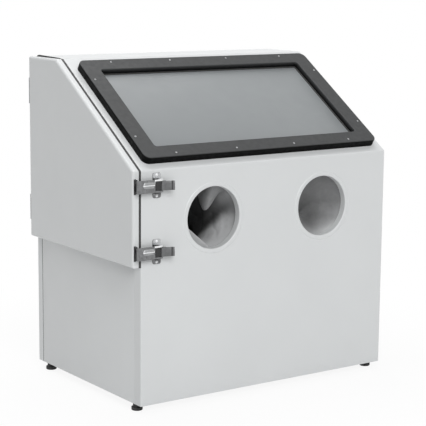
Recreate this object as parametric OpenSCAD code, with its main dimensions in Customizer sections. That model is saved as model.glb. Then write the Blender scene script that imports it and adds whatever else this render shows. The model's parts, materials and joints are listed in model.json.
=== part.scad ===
// Bench sandblast cabinet with a side door, a sloping window and two arm holes.
// X runs to the right along the front, Y to the rear and Z up. Millimetres.

/* [Cabinet] */
// Width of the body across the front
body_w = 680; // [660:5:760]
// Depth of the body from front panel to rear panel
body_d = 460; // [450:5:520]
// Height of the body above its feet
body_h = 730; // [715:5:800]
// Height of the upright front panel
front_h = 514; // [505:1:530]
// Horizontal run of the sloping panel
slope_run = 330; // [315:1:340]
// Thickness of the sheet metal
sheet = 1.5; // [1:0.1:2]
// Outside radius of the folds of the front shell
bend_r = 6; // [3:0.5:10]
// Width of the front shell's return flanges
flange_w = 27; // [24:1:34]
// Width of the rear panel's return flanges
rear_flange_w = 20; // [19:0.5:26]
// Open seam between the left panel and the rear flange
seam = 0.8; // [0.4:0.1:1.5]
// Height of the base pan's upturned edge
pan_lip = 15; // [8:1:25]

/* [Feet] */
// Height of a rubber foot
foot_h = 17; // [14:1:26]
// Radius of a foot at the floor
foot_r = 12.5; // [10:0.5:16]
// Radius of a foot's neck
foot_neck_r = 9; // [7:0.5:9.5]
// Height of a foot's wide base
foot_base_h = 9; // [6:0.5:10]
// Distance from the body's side to a foot's centre
foot_side = 13; // [13:1:40]
// Distance from the front or rear panel to a foot's centre
foot_end = 36; // [30:1:60]
// Radius of a foot's stud
stud_r = 3; // [2:0.5:4]

/* [Window] */
// Gap between the window frame and the body's side
frame_side_gap = 17.5; // [10:0.5:30]
// Gap between the front fold and the window frame
frame_low_gap = 19.5; // [14:0.5:26]
// Gap between the window frame and the top fold
frame_top_gap = 29; // [20:0.5:36]
// Thickness of the window frame
frame_t = 17.5; // [12:0.5:20]
// Face width of the frame at its left and right
frame_side_w = 42.5; // [40:0.5:50]
// Face width of the frame at its top and bottom
frame_rail_w = 37; // [34:1:42]
// Corner radius of the frame
frame_r = 16; // [6:1:20]
// Corner radius of the sight opening
sight_r = 6; // [2:1:12]
// Width of glass that the frame covers
glass_lap = 12; // [8:0.5:14]
// Thickness of the glass
glass_t = 3; // [3:0.5:5]
// Thickness of the gasket under the glass
gasket_t = 1; // [1:0.5:3]
// Width of the gasket
gasket_w = 10; // [6:0.5:11]
// Clearance round the glass in its rebate
glass_play = 1; // [0.5:0.1:1.5]
// Radius of the frame screws
screw_r = 1.5; // [1.5:0.25:2.5]
// Distance from the frame's outer edge to a screw
screw_edge = 11; // [9:0.5:14]
// Distance along a rail from the frame's end to its first screw
screw_row_end = 82; // [60:1:100]
// Distance along a side from the frame's end to its first screw
screw_side_end = 72; // [55:1:90]

/* [Arm holes] */
// Radius of an arm hole
arm_r = 69; // [62:1:72]
// Distance between the arm holes' centres
arm_pitch = 304; // [280:2:320]
// Height of the arm holes' centres above the underside
arm_z = 398; // [390:1:410]
// Width of the rounded rim round an arm hole
rim_w = 12; // [8:0.5:20]
// Height of the rounded rim
rim_h = 3; // [2:0.5:9]
// Wall of the collar that holds a glove
collar_t = 2; // [1.5:0.25:3]
// Length of the collar inside the front panel
collar_l = 16; // [14:1:24]
// Width of a glove clamp's band
clamp_w = 9; // [7:0.5:10]
// Thickness of a glove clamp's band
clamp_t = 1.2; // [0.8:0.1:2]

/* [Gloves] */
// Wall of a rubber glove
glove_t = 2.5; // [2:0.25:3.5]
// Length of a glove from its collar to its knuckles
glove_l = 218; // [190:2:230]
// Half width of a glove's palm
palm_r = 48; // [44:1:52]
// Half thickness of a glove's palm
palm_t = 19; // [17:0.5:21]
// Height of a glove's knuckles above the work grid
knuckle_z = 24; // [24:0.5:30]
// Length of a glove's middle finger
finger_l = 68; // [60:1:76]
// Radius of a glove's middle finger
finger_r = 11; // [9:0.5:11]

/* [Door] */
// Height of the door's lower edge above the underside
door_low = 306; // [303:1:312]
// Depth of the door pan
door_t = 15.5; // [13:0.5:20]
// Gap between the door pan and the body's side
door_gap = 4.5; // [3:0.5:6]
// Corner radius of the door's outline
door_r = 5; // [3:0.5:10]
// Distance from the door's outline to its seal
seal_inset = 6; // [4:0.5:7]
// Width of the door seal
seal_w = 11; // [8:0.5:12]
// Clearance between the seal and the body with the door shut
seal_play = 0.2; // [0.1:0.1:0.5]

/* [Hinges] */
// Outside radius of a hinge knuckle
knuckle_r = 5.5; // [4.5:0.25:5.75]
// Radius of a hinge pin
hinge_pin_r = 2.5; // [2:0.25:3]
// Height of one hinge
hinge_h = 60; // [50:5:90]
// Width of the body's hinge leaf
hinge_leaf_w = 30; // [20:1:45]
// Thickness of a hinge leaf
hinge_leaf_t = 2; // [1.5:0.25:2.5]
// Distance of the hinge pin behind the rear panel
hinge_back = 6; // [6:0.25:8]
// Distance of the hinge pin beyond the body's side
hinge_side = 2; // [1:0.25:3]
// Height of the lower hinge's centre above the door's lower edge
hinge_low = 70; // [45:5:100]
// Distance of the upper hinge's centre below the body's top
hinge_top = 80; // [50:5:110]
// Running clearance of pins in their bores
pin_play = 0.05; // [0.03:0.01:0.1]

/* [Latches] */
// Height of the lower latch's centre
latch_low_z = 338; // [330:1:344]
// Height of the upper latch's centre
latch_high_z = 481; // [462:1:482]
// Height of a latch's base plate
latch_base_h = 54; // [52:1:56]
// Distance of a lever's pivot from the body's left edge
latch_x = 34; // [32:0.5:40]
// Distance of a lever's pivot from the front panel
latch_out = 8; // [7.75:0.25:9]
// Distance between the lever's pivot and the hook's pivot
latch_throw = 13; // [12:0.25:14]
// Distance that the hook's pivot sits past dead centre
latch_over = 0.6; // [0.2:0.1:1]
// Height of a lever
lever_h = 20; // [17:0.5:20]
// Reach of a lever from its pivot
lever_l = 39; // [36:1:48]
// Height of a draw hook
hook_h = 28; // [27:0.5:28]
// Reach of a draw hook over the door
hook_over = 16.5; // [15:0.5:18]
// Thickness of the latch metal
latch_t = 1.5; // [1:0.1:1.75]
// Radius of a lever's pivot pin
pivot_r = 2; // [1.5:0.25:2]
// Radius of a hook's pivot pin
hook_pin_r = 1.5; // [1:0.25:1.75]
// Height of a keeper's lip above the door
keeper_out = 7.5; // [6:0.25:7.75]
// Radius of a rivet's shank
rivet_r = 1.6; // [1.2:0.1:2]

/* [Work space] */
// Height of the work grid's top above the underside
grid_z = 300; // [296:1:301]
// Height of the grid's bars
grid_bar_h = 10; // [8:0.5:14]
// Thickness of the grid's bars
grid_bar_t = 3; // [2:0.5:4]
// Distance between the grid's bars
grid_pitch = 20; // [20:1:24]
// Leg of the angle rails under the grid
rail_leg = 20; // [16:1:20]
// Height of the hopper's rim above the underside
hopper_z = 262; // [240:1:264]
// Height of the hopper's floor above the underside
sump_z = 60; // [40:2:90]
// Length of the hopper's floor across the cabinet
sump_w = 300; // [290:5:340]
// Depth of the hopper's floor
sump_d = 90; // [70:5:120]
// Height of the hopper's upright rim
hopper_rim = 15; // [8:1:20]

/* [Blast gun and hoses] */
// Place of the gun across the cabinet
gun_x = 60; // [50:1:70]
// Height of the gun's barrel above the underside
gun_z = 520; // [505:1:535]
// Distance of the gun and hoses from the rear panel
wall_gap = 22; // [20:0.5:26]
// Radius of the gun's barrel
barrel_r = 13; // [11:0.5:14]
// Length of the gun's grip
grip_l = 92; // [80:1:100]
// Radius of the media hose
media_r = 8; // [6:0.5:8.5]
// Radius of the air hose
air_r = 6.5; // [5:0.5:8]
// Bend radius of the hoses
hose_bend = 30; // [26:1:32]
// Radius of the pickup tube
pickup_r = 7; // [5:0.5:7.5]
// Radius of the nozzle
nozzle_r = 6; // [5:0.5:7]
// Radius of the nozzle's bore
nozzle_bore_r = 3; // [2:0.25:4]

/* [Services] */
// Outside radius of the dust outlet
dust_r = 25; // [20:1:32]
// Length of the dust outlet's spigot
dust_l = 45; // [30:1:60]
// Distance of the dust outlet from the centre, to the left
dust_x = 230; // [220:2:240]
// Distance of the dust outlet below the top
dust_drop = 120; // [110:2:140]
// Radius of the air inlet's thread
air_thread_r = 5.72; // [5:0.01:6.5]
// Depth of the air inlet's thread
air_thread_l = 14; // [10:1:16]
// Distance of the air inlet from the right side
air_side = 40; // [34:1:44]
// Height of the air inlet above the underside
air_z = 400; // [390:1:420]
// Length of the lamp housing
lamp_w = 320; // [240:10:400]
// Depth of the lamp housing
lamp_d = 46; // [36:1:60]
// Height of the lamp housing
lamp_h = 24; // [16:1:30]
// Radius of the lamp's cable gland
gland_r = 7; // [6:0.5:9]

/* [Hidden] */
$fn = 48;

// Colours as the cabinet shows them
paint = "#d2d5d5";
dark = "#2b2d2d";
frame_grey = "#56595a";
bright = "#c6c8c9";
steel = "#8d9093";
rubber_grey = "#6f7273";
glass_tint = "#9ea4a6";
gun_grey = "#a7abad";
ceramic = "#e8e6df";
hose_blue = "#27408b";
brass = "#c9b26a";
lens_white = "#f4f2e8";

// Half sizes and the planes of the sheet metal's inner faces
hw = body_w / 2;
hd = body_d / 2;
in_w = hw - sheet;
in_d = hd - sheet;
left = -hw;
front = -hd;
// How far a cut runs past the faces that it opens, and its length where it is centred on a panel
past = 1;
punch = 6 * sheet;

// The slope that carries the window
slope_a = atan2(body_h - front_h, slope_run);
slope_len = norm([slope_run, body_h - front_h]);
frame_w = body_w - 2 * frame_side_gap;
frame_h = slope_len - frame_low_gap - frame_top_gap;
sight_w = frame_w - 2 * frame_side_w;
sight_h = frame_h - 2 * frame_rail_w;
glass_w = sight_w + 2 * glass_lap;
glass_h = sight_h + 2 * glass_lap;
cut_w = glass_w - 2 * gasket_w;
cut_h = glass_h - 2 * gasket_w;
screw_head_r = 1.7 * screw_r;
screw_head_h = 1.1 * screw_r;
screw_end = 1;
nut_h = 1.6 * screw_r;
nut_r = 2 * screw_r;
row_n = 4;
row_span = frame_w - 2 * screw_row_end;
side_span = frame_h - 2 * screw_side_end;

// The place of the whole part: centred on its outline and standing on the floor
door_out = door_gap + door_t;
lever_rise = 4;
lever_flare = 5;
lever_kick = 3;
lever_tip = latch_out + lever_rise + lever_flare + lever_kick;
dust_flange_t = 3;
frame_x = door_out / 2;
frame_y = (lever_tip - dust_flange_t - dust_l) / 2;

// Feet
foot_x = hw - foot_side;
foot_y = hd - foot_end;
foot_edge = 1;
foot_cone = 2;
stud_rise = 8;
stud_nut_h = 5;

// The door and its hinges
door_x = left - door_out;
left_panel_top = door_low + seal_inset + seal_w + 8;
hinge_axis_x = left - hinge_side;
hinge_axis_y = hd + hinge_back;
knuckles = 5;
knuckle_gap = 0.4;
leaf_gap = 0.8;
hinge_zs = [door_low + hinge_low, body_h - hinge_top];

// Latch parts, measured out from the front panel
latch_zs = [latch_low_z, latch_high_z];
hook_pivot = [latch_throw, -latch_over];
hook_level = 3;
cheek_gap = 0.5;
arm_gap = 0.5;
arm_t = 3.5;
cheek_t = 2;
roll_r = 2.2;
rivet_head_r = 2 * rivet_r;
rivet_head_h = 1.1;
rivet_end = 5;
base_w = 20;
base_left = latch_x - 5;
base_r = 4;
base_rivet_end = 4.5;
cheek_z = lever_h / 2 + arm_gap + arm_t + cheek_gap;
cheek_r = pivot_r + 2.5;
hub_r = pivot_r + 2.6;
lever_root = latch_throw - 2;
lever_end = 9;
web_drop = 3.6;
web_end = 9;
strap_end = -hub_r - 1;
rib_r = 3;
rib_rise = 1.6;
rib_l = 26;
hook_eye_r = hook_pin_r + 1.7;
keeper_h = 33;
keeper_left = 2.5 - door_out;
keeper_w = door_t - 4;
keeper_lip = 18;
keeper_lip_in = 4;
keeper_rivet_end = 4;

// The grid and what lies under it
rail_t = 2;
rod_t = 5;
grid_side_gap = 8;
bar_bottom = grid_z - grid_bar_h;
bar_end = in_d - 4;
rail_end = in_w - 4;
rod_side = 50;
rod_lift = 1;
grid_n = floor((2 * in_w - 2 * grid_side_gap - grid_bar_t) / grid_pitch / 2);
pickup_x = -grid_pitch * 6;
pickup_notch_r = pickup_r + 2;
pickup_lift = 12;
pickup_sleeve = 0.8;
rear_y = in_d - wall_gap;
rim_foot = [in_d, hopper_z - hopper_rim];
sump_foot = [sump_d / 2, sump_z];

// The gun's own places, along X from gun_x and up from gun_z
barrel_front = -45;
barrel_back = 75;
media_at = -22;
media_drop = 42;
trigger_at = 7;
trigger_drop = 19;
grip_at = 42;
grip_tilt = 12;
tail_at = [grip_at + round(grip_l * sin(grip_tilt)), -round(grip_l * cos(grip_tilt))];
grip_flat = 14;
grip_r = 11;
tail_l = 22;
tail_in = 4;
tail_r = air_r + 2;
cap_l = 22;
cap_r = barrel_r + 2;
cap_ribs = 12;
cap_rib_r = 1.2;
cap_rib_end = 3;
nozzle_l = 45;
nozzle_in = 6;
nozzle_hole_r = nozzle_r + pin_play;
trigger_pin_r = 2;
trigger_t = 7;
trigger_gap = 0.4;
trigger_eye_r = 4.5;
lug_r = 7;
lug_low = trigger_drop + 6;
lug_w = 20;
holder_t = 2;
holder_arm = 8;
holder_lip = 3;

// The hoses run in lanes down the rear wall
lane = 90;
hose_low_z = 375;
hose_high_z = 610;
pickup_top_z = 345;
air_x = hw - air_side;
air_elbow_h = 26;

// Fittings on the rear panel
inlet_hex = 15;
inlet_hex_r = air_thread_r + 6;
inlet_neck_r = air_thread_r + 3;
inlet_block = 9;
gland_z = body_h - 50;
gland_neck_r = gland_r - 2;
gland_bore_r = gland_r - 4;
gland_nut_h = 5;
gland_hex_h = 6;
gland_l = 14;
dust_z = body_h - dust_drop;
dust_flange_r = dust_r + 14;
baffle_w = 2 * dust_r + 40;
baffle_d = 30;

// The lamp under the top
lamp_y = (front + slope_run + in_d) / 2;
lamp_top = body_h - sheet;
lamp_wall = 2;
lens_t = 4;

function unit(v) = v / norm(v);
function left_of(v) = [-v[1], v[0]];
function cross2(a, b) = a[0] * b[1] - a[1] * b[0];

// Where the line through p along d meets the line through q along e
function meet(p, d, q, e) = p + d * cross2(q - p, e) / cross2(d, e);

// A counter-clockwise outline with edge i moved inward by d[i]
function inset(pts, d) =
  let (n = len(pts))
  [for (i = [0:n - 1])
    let (
      a = (i + n - 1) % n,
      da = unit(pts[i] - pts[a]),
      db = unit(pts[(i + 1) % n] - pts[i])
    )
    meet(pts[a] + left_of(da) * d[a], da, pts[i] + left_of(db) * d[i], db)];

// Points of an arc that rounds corner p between a and b, or p itself when r is not positive
function corner(a, p, b, r, n = 5) =
  r <= 0 ? [p] :
  let (
    u = unit(a - p),
    v = unit(b - p),
    half = acos(u * v) / 2,
    c = p + unit(u + v) * r / sin(half),
    s = p + u * r / tan(half) - c,
    e = p + v * r / tan(half) - c,
    a0 = atan2(s[1], s[0]),
    turn = (atan2(e[1], e[0]) - a0 + 540) % 360 - 180
  )
  [for (k = [0:n]) c + r * [cos(a0 + turn * k / n), sin(a0 + turn * k / n)]];

function rounded(pts, r) =
  let (n = len(pts))
  [for (i = [0:n - 1]) each corner(pts[(i + n - 1) % n], pts[i], pts[(i + 1) % n], r)];

// Side outlines in Y and Z: bottom, rear, top, slope and front edges in turn
function side_outline(low) =
  [[front, low], [hd, low], [hd, body_h], [front + slope_run, body_h], [front, front_h]];
body_side = side_outline(0);
door_side = side_outline(door_low);

// A strip of width w inside the front, slope and top edges, ending at y_end
function shell_strip(w, y_end) =
  let (
    o = body_side,
    i = inset(body_side, [0, 0, w, w, w])
  )
  concat(
    [o[0]],
    [i[0]],
    corner(i[0], i[4], i[3], bend_r - w),
    corner(i[4], i[3], i[2], bend_r - w),
    [[y_end, body_h - w]],
    [[y_end, body_h]],
    corner(o[2], o[3], o[4], bend_r),
    corner(o[3], o[4], o[0], bend_r)
  );

// The door's outline moved inward by d
function door_outline(d) = rounded(inset(door_side, [d, d, d, d, d]), max(door_r - d, 0.5));

module placed() translate([frame_x, frame_y, foot_h]) children();

// A profile in Y and Z, extruded along X
module along_x(x, len) translate([x, 0, 0]) rotate([90, 0, 90]) linear_extrude(len) children();

// Window coordinates: X across, Y up the slope, Z out of the panel, from the frame's centre
module at_window()
  translate([0, front, front_h]) rotate([slope_a, 0, 0])
    translate([0, frame_low_gap + frame_h / 2, 0]) children();

// Arm hole coordinates: Z points out of the front panel
module at_arm(side) translate([side * arm_pitch / 2, front, arm_z]) rotate([90, 0, 0]) children();

// Latch coordinates: X to the right of the body's left edge, Y out of the front, Z up
module at_latch(i) translate([left, front, latch_zs[i]]) mirror([0, 1, 0]) children();

// Things on a side wall: Z points along +Y
module facing_rear(x, y, z) translate([x, y, z]) rotate([-90, 0, 0]) children();

module rounded_rect(w, h, r) {
  square([w - 2 * r, h], center = true);
  square([w, h - 2 * r], center = true);
  for (x = [-1, 1], y = [-1, 1])
    translate([x * (w / 2 - r), y * (h / 2 - r)]) circle(r);
}

module slab(x, y, z) translate([x[0], y[0], z[0]]) cube([x[1] - x[0], y[1] - y[0], z[1] - z[0]]);

// A round bar between two points
module stick(a, b, r) {
  d = b - a;
  translate(a) rotate([0, acos(d[2] / norm(d)), atan2(d[1], d[0])]) cylinder(h = norm(d), r = r);
}

// A round bar along points, with every corner bent to the same radius.
// With a sleeve, each corner is a fatter elbow that the straight lengths plug into.
function bend_of(p, i) = acos(unit(p[i] - p[i - 1]) * unit(p[i + 1] - p[i]));
function trim_of(p, i, bend) = bend * tan(bend_of(p, i) / 2);

module elbow(p, i, r, bend) {
  u = unit(p[i - 1] - p[i]);
  v = unit(p[i + 1] - p[i]);
  c = p[i] + unit(u + v) * bend / cos(bend_of(p, i) / 2);
  e1 = unit(p[i] + u * trim_of(p, i, bend) - c);
  e2 = -u;
  e3 = cross(e1, e2);
  multmatrix([
    [e1[0], e2[0], e3[0], c[0]],
    [e1[1], e2[1], e3[1], c[1]],
    [e1[2], e2[2], e3[2], c[2]],
    [0, 0, 0, 1]
  ])
    rotate_extrude(angle = bend_of(p, i)) translate([bend, 0]) circle(r);
}

module pipe_run(p, r, bend, sleeve = 0) {
  last = len(p) - 1;
  plug = 4 * sleeve;
  for (i = [0:last - 1]) {
    d = unit(p[i + 1] - p[i]);
    a = i == 0 ? p[0] : p[i] + d * (trim_of(p, i, bend) - plug);
    b = i == last - 1 ? p[last] : p[i + 1] - d * (trim_of(p, i + 1, bend) - plug);
    stick(a, b, r);
  }
  for (i = [1:1:last - 1]) elbow(p, i, r + sleeve, bend);
}

// Sheet metal

module front_shell() color(paint) placed() difference() {
  union() {
    along_x(left, body_w) polygon(shell_strip(sheet, hd));
    for (x = [left, in_w]) along_x(x, sheet) polygon(shell_strip(flange_w, hd - rear_flange_w));
  }
  for (s = [-1, 1]) at_arm(s) cylinder(h = punch, r = arm_r + collar_t + pin_play, center = true);
  at_window() {
    cube([cut_w, cut_h, punch], center = true);
    frame_screw_places() cylinder(h = punch, r = screw_r + pin_play, center = true);
  }
  for (i = [0, 1]) at_latch(i) latch_rivet_places() rivet_hole();
}

module rear_panel() color(paint) placed() difference() {
  union() {
    slab([left, hw], [in_d, hd], [0, body_h - sheet]);
    for (x = [left, in_w]) slab([x, x + sheet], [hd - rear_flange_w, hd], [0, body_h - sheet]);
  }
  facing_rear(-dust_x, hd, dust_z) cylinder(h = punch, r = dust_r - sheet, center = true);
  facing_rear(air_x, hd, air_z) cylinder(h = punch, r = inlet_neck_r + pin_play, center = true);
  facing_rear(air_x, hd, gland_z) cylinder(h = punch, r = gland_neck_r + pin_play, center = true);
}

// The lower left side, which also carries the door seal's lower run
module left_panel() color(paint) placed()
  slab([left, left + sheet], [front + flange_w, hd - rear_flange_w - seam], [0, left_panel_top]);

module right_panel() color(paint) placed()
  along_x(in_w, sheet) polygon(inset(body_side, [0, rear_flange_w, flange_w, flange_w, flange_w]));

module base_pan() color(paint) placed() difference() {
  slab([-in_w, in_w], [-in_d, in_d], [0, pan_lip]);
  slab([sheet - in_w, in_w - sheet], [sheet - in_d, in_d - sheet], [sheet, pan_lip + past]);
  foot_places() cylinder(h = punch, r = stud_r + pin_play, center = true);
}

// Feet

module foot_places() for (x = [-1, 1], y = [-1, 1]) translate([x * foot_x, y * foot_y, 0]) children();

module foot(x, y) color(dark) placed() translate([x * foot_x, y * foot_y, -foot_h])
  difference() {
    rotate_extrude() polygon(concat(
      [[0, 0], [foot_r - foot_edge, 0], [foot_r, foot_edge], [foot_r, foot_base_h - foot_cone]],
      [[foot_neck_r, foot_base_h], [foot_neck_r, foot_h], [0, foot_h]]
    ));
    translate([0, 0, foot_base_h]) cylinder(h = foot_h, r = stud_r + pin_play);
  }

module foot_studs() color(steel) placed() foot_places() {
  translate([0, 0, foot_base_h - foot_h]) cylinder(h = foot_h - foot_base_h + sheet + stud_rise, r = stud_r);
  translate([0, 0, sheet]) difference() {
    cylinder(h = stud_nut_h, r = 2 * stud_r, $fn = 6);
    translate([0, 0, -past]) cylinder(h = stud_nut_h + 2 * past, r = stud_r + pin_play);
  }
}

// Window

module frame_screw_places() {
  for (k = [0:row_n - 1], y = [-1, 1])
    translate([row_span * (k / (row_n - 1) - 0.5), y * (frame_h / 2 - screw_edge), 0]) children();
  for (x = [-1, 1], y = [-1, 1])
    translate([x * (frame_w / 2 - screw_edge), y * side_span / 2, 0]) children();
}

module window_gasket() color(dark) placed() at_window() linear_extrude(gasket_t) difference() {
  square([glass_w, glass_h], center = true);
  square([cut_w, cut_h], center = true);
}

module window_glass() color(glass_tint, 0.5) placed() at_window()
  translate([0, 0, gasket_t]) linear_extrude(glass_t) square([glass_w, glass_h], center = true);

module window_frame() color(frame_grey) placed() at_window() difference() {
  linear_extrude(frame_t) rounded_rect(frame_w, frame_h, frame_r);
  translate([0, 0, -past]) linear_extrude(frame_t + 2 * past) rounded_rect(sight_w, sight_h, sight_r);
  translate([0, 0, -past]) linear_extrude(past + gasket_t + glass_t)
    square([glass_w + 2 * glass_play, glass_h + 2 * glass_play], center = true);
  frame_screw_places() cylinder(h = 3 * frame_t, r = screw_r + pin_play, center = true);
}

module window_screws() color(bright) placed() at_window() frame_screw_places() {
  rotate_extrude() polygon([
    [0, -sheet - nut_h - screw_end], [screw_r, -sheet - nut_h - screw_end], [screw_r, frame_t],
    [screw_head_r, frame_t], [screw_head_r, frame_t + screw_head_h / 3],
    [screw_head_r * 0.7, frame_t + screw_head_h * 0.85],
    [screw_head_r * 0.35, frame_t + screw_head_h], [0, frame_t + screw_head_h]
  ]);
  translate([0, 0, -sheet - nut_h]) difference() {
    cylinder(h = nut_h, r = nut_r, $fn = 6);
    translate([0, 0, -past]) cylinder(h = nut_h + 2 * past, r = screw_r + pin_play);
  }
}

// Arm holes

module arm_ring(side) color(paint) placed() at_arm(side) rotate_extrude($fn = 96) polygon(concat(
  [[arm_r, -collar_l], [arm_r + collar_t, -collar_l], [arm_r + collar_t, 0]],
  [for (a = [0:15:180]) [arm_r + rim_w / 2 * (1 + cos(a)), rim_h * sin(a)]]
));

// Rings of a glove, from its cuff to its knuckles:
// way in from the front panel, drop, tilt, half width and half height.
// The cuff's flats stay clear of the round collar inside it.
glove_sides = 20;
soft_gap = 0.3;
cuff_start = 4;
cuff_r = (arm_r + collar_t + soft_gap) / cos(180 / glove_sides) + glove_t;
hand_drop = arm_z - grid_z - knuckle_z;
glove_rings = [
  [cuff_start, 0, 0, cuff_r, cuff_r],
  [collar_l, 0, 0, cuff_r, cuff_r],
  [collar_l + 0.16 * glove_l, 0.06 * hand_drop, 15, 0.96 * cuff_r, 0.96 * cuff_r],
  [collar_l + 0.3 * glove_l, 0.22 * hand_drop, 30, 0.86 * cuff_r, 0.86 * cuff_r],
  [collar_l + 0.42 * glove_l, 0.44 * hand_drop, 38, 1.12 * palm_r, 1.08 * palm_r],
  [collar_l + 0.53 * glove_l, 0.66 * hand_drop, 36, 0.96 * palm_r, 0.83 * palm_r],
  [collar_l + 0.65 * glove_l, 0.83 * hand_drop, 24, 0.92 * palm_r, 1.45 * palm_t],
  [collar_l + 0.79 * glove_l, 0.95 * hand_drop, 12, palm_r, 1.2 * palm_t],
  [collar_l + 0.93 * glove_l, hand_drop, 4, palm_r, palm_t],
  [collar_l + glove_l, hand_drop, 0, 0.92 * palm_r, 0.74 * palm_t]
];
glove_hollow = 7;

function glove_ring(g, grow) = [for (k = [0:glove_sides - 1])
  let (a = 360 * k / glove_sides, up = (g[4] + grow) * sin(a))
  [(g[3] + grow) * cos(a), front + g[0] + up * sin(g[2]), arm_z - g[1] + up * cos(g[2])]];

// Two triangles for each quad between ring a and ring b, wound outward or inward
function ring_faces(a, b, flip) = [for (k = [0:glove_sides - 1])
  let (n = glove_sides, j = (k + 1) % n, p = a * n + k, q = a * n + j, r = b * n + j, s = b * n + k)
  each flip ? [[p, q, r], [p, r, s]] : [[p, r, q], [p, s, r]]];
function cap_faces(a, flip) = [for (k = [1:glove_sides - 2])
  let (n = glove_sides)
  flip ? [a * n, a * n + k, a * n + k + 1] : [a * n, a * n + k + 1, a * n + k]];

module glove_sleeve() {
  n = len(glove_rings);
  outer = [for (g = glove_rings) each glove_ring(g, 0)];
  inner = [for (i = [0:glove_hollow]) each glove_ring(glove_rings[i], -glove_t)];
  polyhedron(concat(outer, inner), concat(
    [for (i = [0:n - 2]) each ring_faces(i, i + 1, true)],
    cap_faces(n - 1, true),
    [for (i = [0:glove_hollow - 1]) each ring_faces(n + i, n + i + 1, false)],
    cap_faces(n + glove_hollow, false),
    ring_faces(n, 0, true)
  ));
}

// Fingers of a left glove, each as shares of the palm's half width, the finger's length and radius
fingers = [[0.69, 0.85, 0.95], [0.25, 1, 1], [-0.21, 0.94, 1], [-0.65, 0.7, 0.91]];

// A finger or thumb through points, each with its radius
module finger(at) for (i = [0:len(at) - 2]) hull() for (j = [i, i + 1])
  translate(at[j][0]) sphere(at[j][1], $fn = 14);

module glove_fingers() translate([0, front + collar_l + 0.94 * glove_l, grid_z + knuckle_z]) {
  droop = 0.27 * finger_r;
  for (f = fingers) {
    x = f[0] * palm_r;
    l = f[1] * finger_l;
    r = f[2] * finger_r;
    finger([[[x, 0, 0], r], [[1.08 * x, 0.55 * l, -droop], r], [[1.1 * x, l, -3 * droop], 0.9 * r]]);
  }
  finger([
    [[0.71 * palm_r, -palm_r, droop], 1.27 * finger_r],
    [[1.17 * palm_r, -0.3 * palm_r, -droop], 1.05 * finger_r],
    [[1.29 * palm_r, 0.25 * palm_r, -2.4 * droop], 0.95 * finger_r]
  ]);
}

module glove(side) color(rubber_grey) placed() translate([side * arm_pitch / 2, 0, 0])
  mirror([side > 0 ? 1 : 0, 0, 0]) union() {
    glove_sleeve();
    glove_fingers();
  }

// A band round each cuff, with its worm housing and screw head on top
clamp_r = cuff_r + soft_gap;
worm_w = 18;
worm_h = 8;
worm_screw_r = 3.5;
worm_screw_l = 6;
module glove_clamps() color(bright) placed() for (s = [-1, 1]) at_arm(s)
  translate([0, 0, -(collar_l + clamp_w) / 2]) {
    difference() {
      union() {
        cylinder(h = clamp_w, r = clamp_r + clamp_t);
        translate([-worm_w / 2, clamp_r + clamp_t / 2, 0]) cube([worm_w, worm_h, clamp_w]);
      }
      translate([0, 0, -past]) cylinder(h = clamp_w + 2 * past, r = clamp_r);
    }
    translate([worm_w / 2, clamp_r + (clamp_t + worm_h) / 2, clamp_w / 2]) rotate([0, 90, 0])
      cylinder(h = worm_screw_l, r = worm_screw_r, $fn = 6);
  }

// Work grid and hopper

module grid_rails() color(steel) placed() difference() {
  for (s = [0, 1]) mirror([0, s, 0]) {
    slab([-rail_end, rail_end], [in_d - rail_leg, in_d], [bar_bottom - rail_t, bar_bottom]);
    slab([-rail_end, rail_end], [in_d - rail_t, in_d], [bar_bottom - rail_leg, bar_bottom]);
  }
  translate([pickup_x, rear_y, bar_bottom]) cylinder(h = 3 * rail_leg, r = pickup_notch_r, center = true);
  slab([pickup_x - pickup_notch_r, pickup_x + pickup_notch_r], [0, rear_y], [0, grid_z]);
}

module work_grid() color(steel) placed() {
  for (k = [0:grid_n - 1], s = [-1, 1]) translate([s * (k + 0.5) * grid_pitch, 0, 0])
    slab([-grid_bar_t / 2, grid_bar_t / 2], [-bar_end, bar_end], [bar_bottom, grid_z]);
  rod_x = (grid_n - 0.5) * grid_pitch + grid_bar_t;
  for (y = [-1, 0, 1]) translate([0, y * (rear_y - rod_side), bar_bottom + rod_lift])
    slab([-rod_x, rod_x], [-rod_t / 2, rod_t / 2], [0, rod_t]);
}

module hopper_form(t) hull() {
  slab([t - in_w, in_w - t], [t - in_d, in_d - t], [hopper_z - hopper_rim, hopper_z + t]);
  slab([-sump_w / 2, sump_w / 2], [-sump_d / 2, sump_d / 2], [sump_z + t, sump_z + t + past]);
}
module hopper() color(steel) placed() difference() {
  hopper_form(0);
  hopper_form(sheet);
}

// The pickup tube comes down the wall and lies along the hopper's rear slope
slide = unit(sump_foot - rim_foot);
slide_off = pickup_notch_r + 3 * sheet;
slide_from = rim_foot + [slide[1], -slide[0]] * slide_off;
pickup_bend = meet([rear_y, 0], [0, 1], slide_from, slide);
pickup_end = meet([0, sump_z + pickup_r + pickup_lift], [1, 0], slide_from, slide);
module pickup_tube() color(steel) placed() pipe_run([
  [pickup_x, rear_y, pickup_top_z],
  [pickup_x, rear_y, pickup_bend[1]],
  [pickup_x, pickup_end[0], pickup_end[1]]
], pickup_r, hose_bend, pickup_sleeve);

// Blast gun

module at_gun() translate([gun_x, rear_y, gun_z]) children();
module at_grip() at_gun() translate([grip_at, 0, 0]) rotate([0, -grip_tilt, 0]) children();

module along_barrel(x) at_gun() translate([x, 0, 0]) rotate([0, 90, 0]) children();
module at_trigger() at_gun() translate([trigger_at, 0, -trigger_drop]) rotate([90, 0, 0]) children();

module grip_form() at_grip() translate([0, 0, -grip_l]) linear_extrude(grip_l) {
  square([grip_flat, 2 * grip_r], center = true);
  for (s = [-1, 1]) translate([s * grip_flat / 2, 0]) circle(grip_r);
}

module trigger_slot() {
  half = trigger_t / 2 + trigger_gap;
  at_gun() slab(
    [trigger_at - lug_r - past, trigger_at + lug_r + past],
    [-half, half],
    [-lug_low - past, -barrel_r]
  );
}

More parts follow.
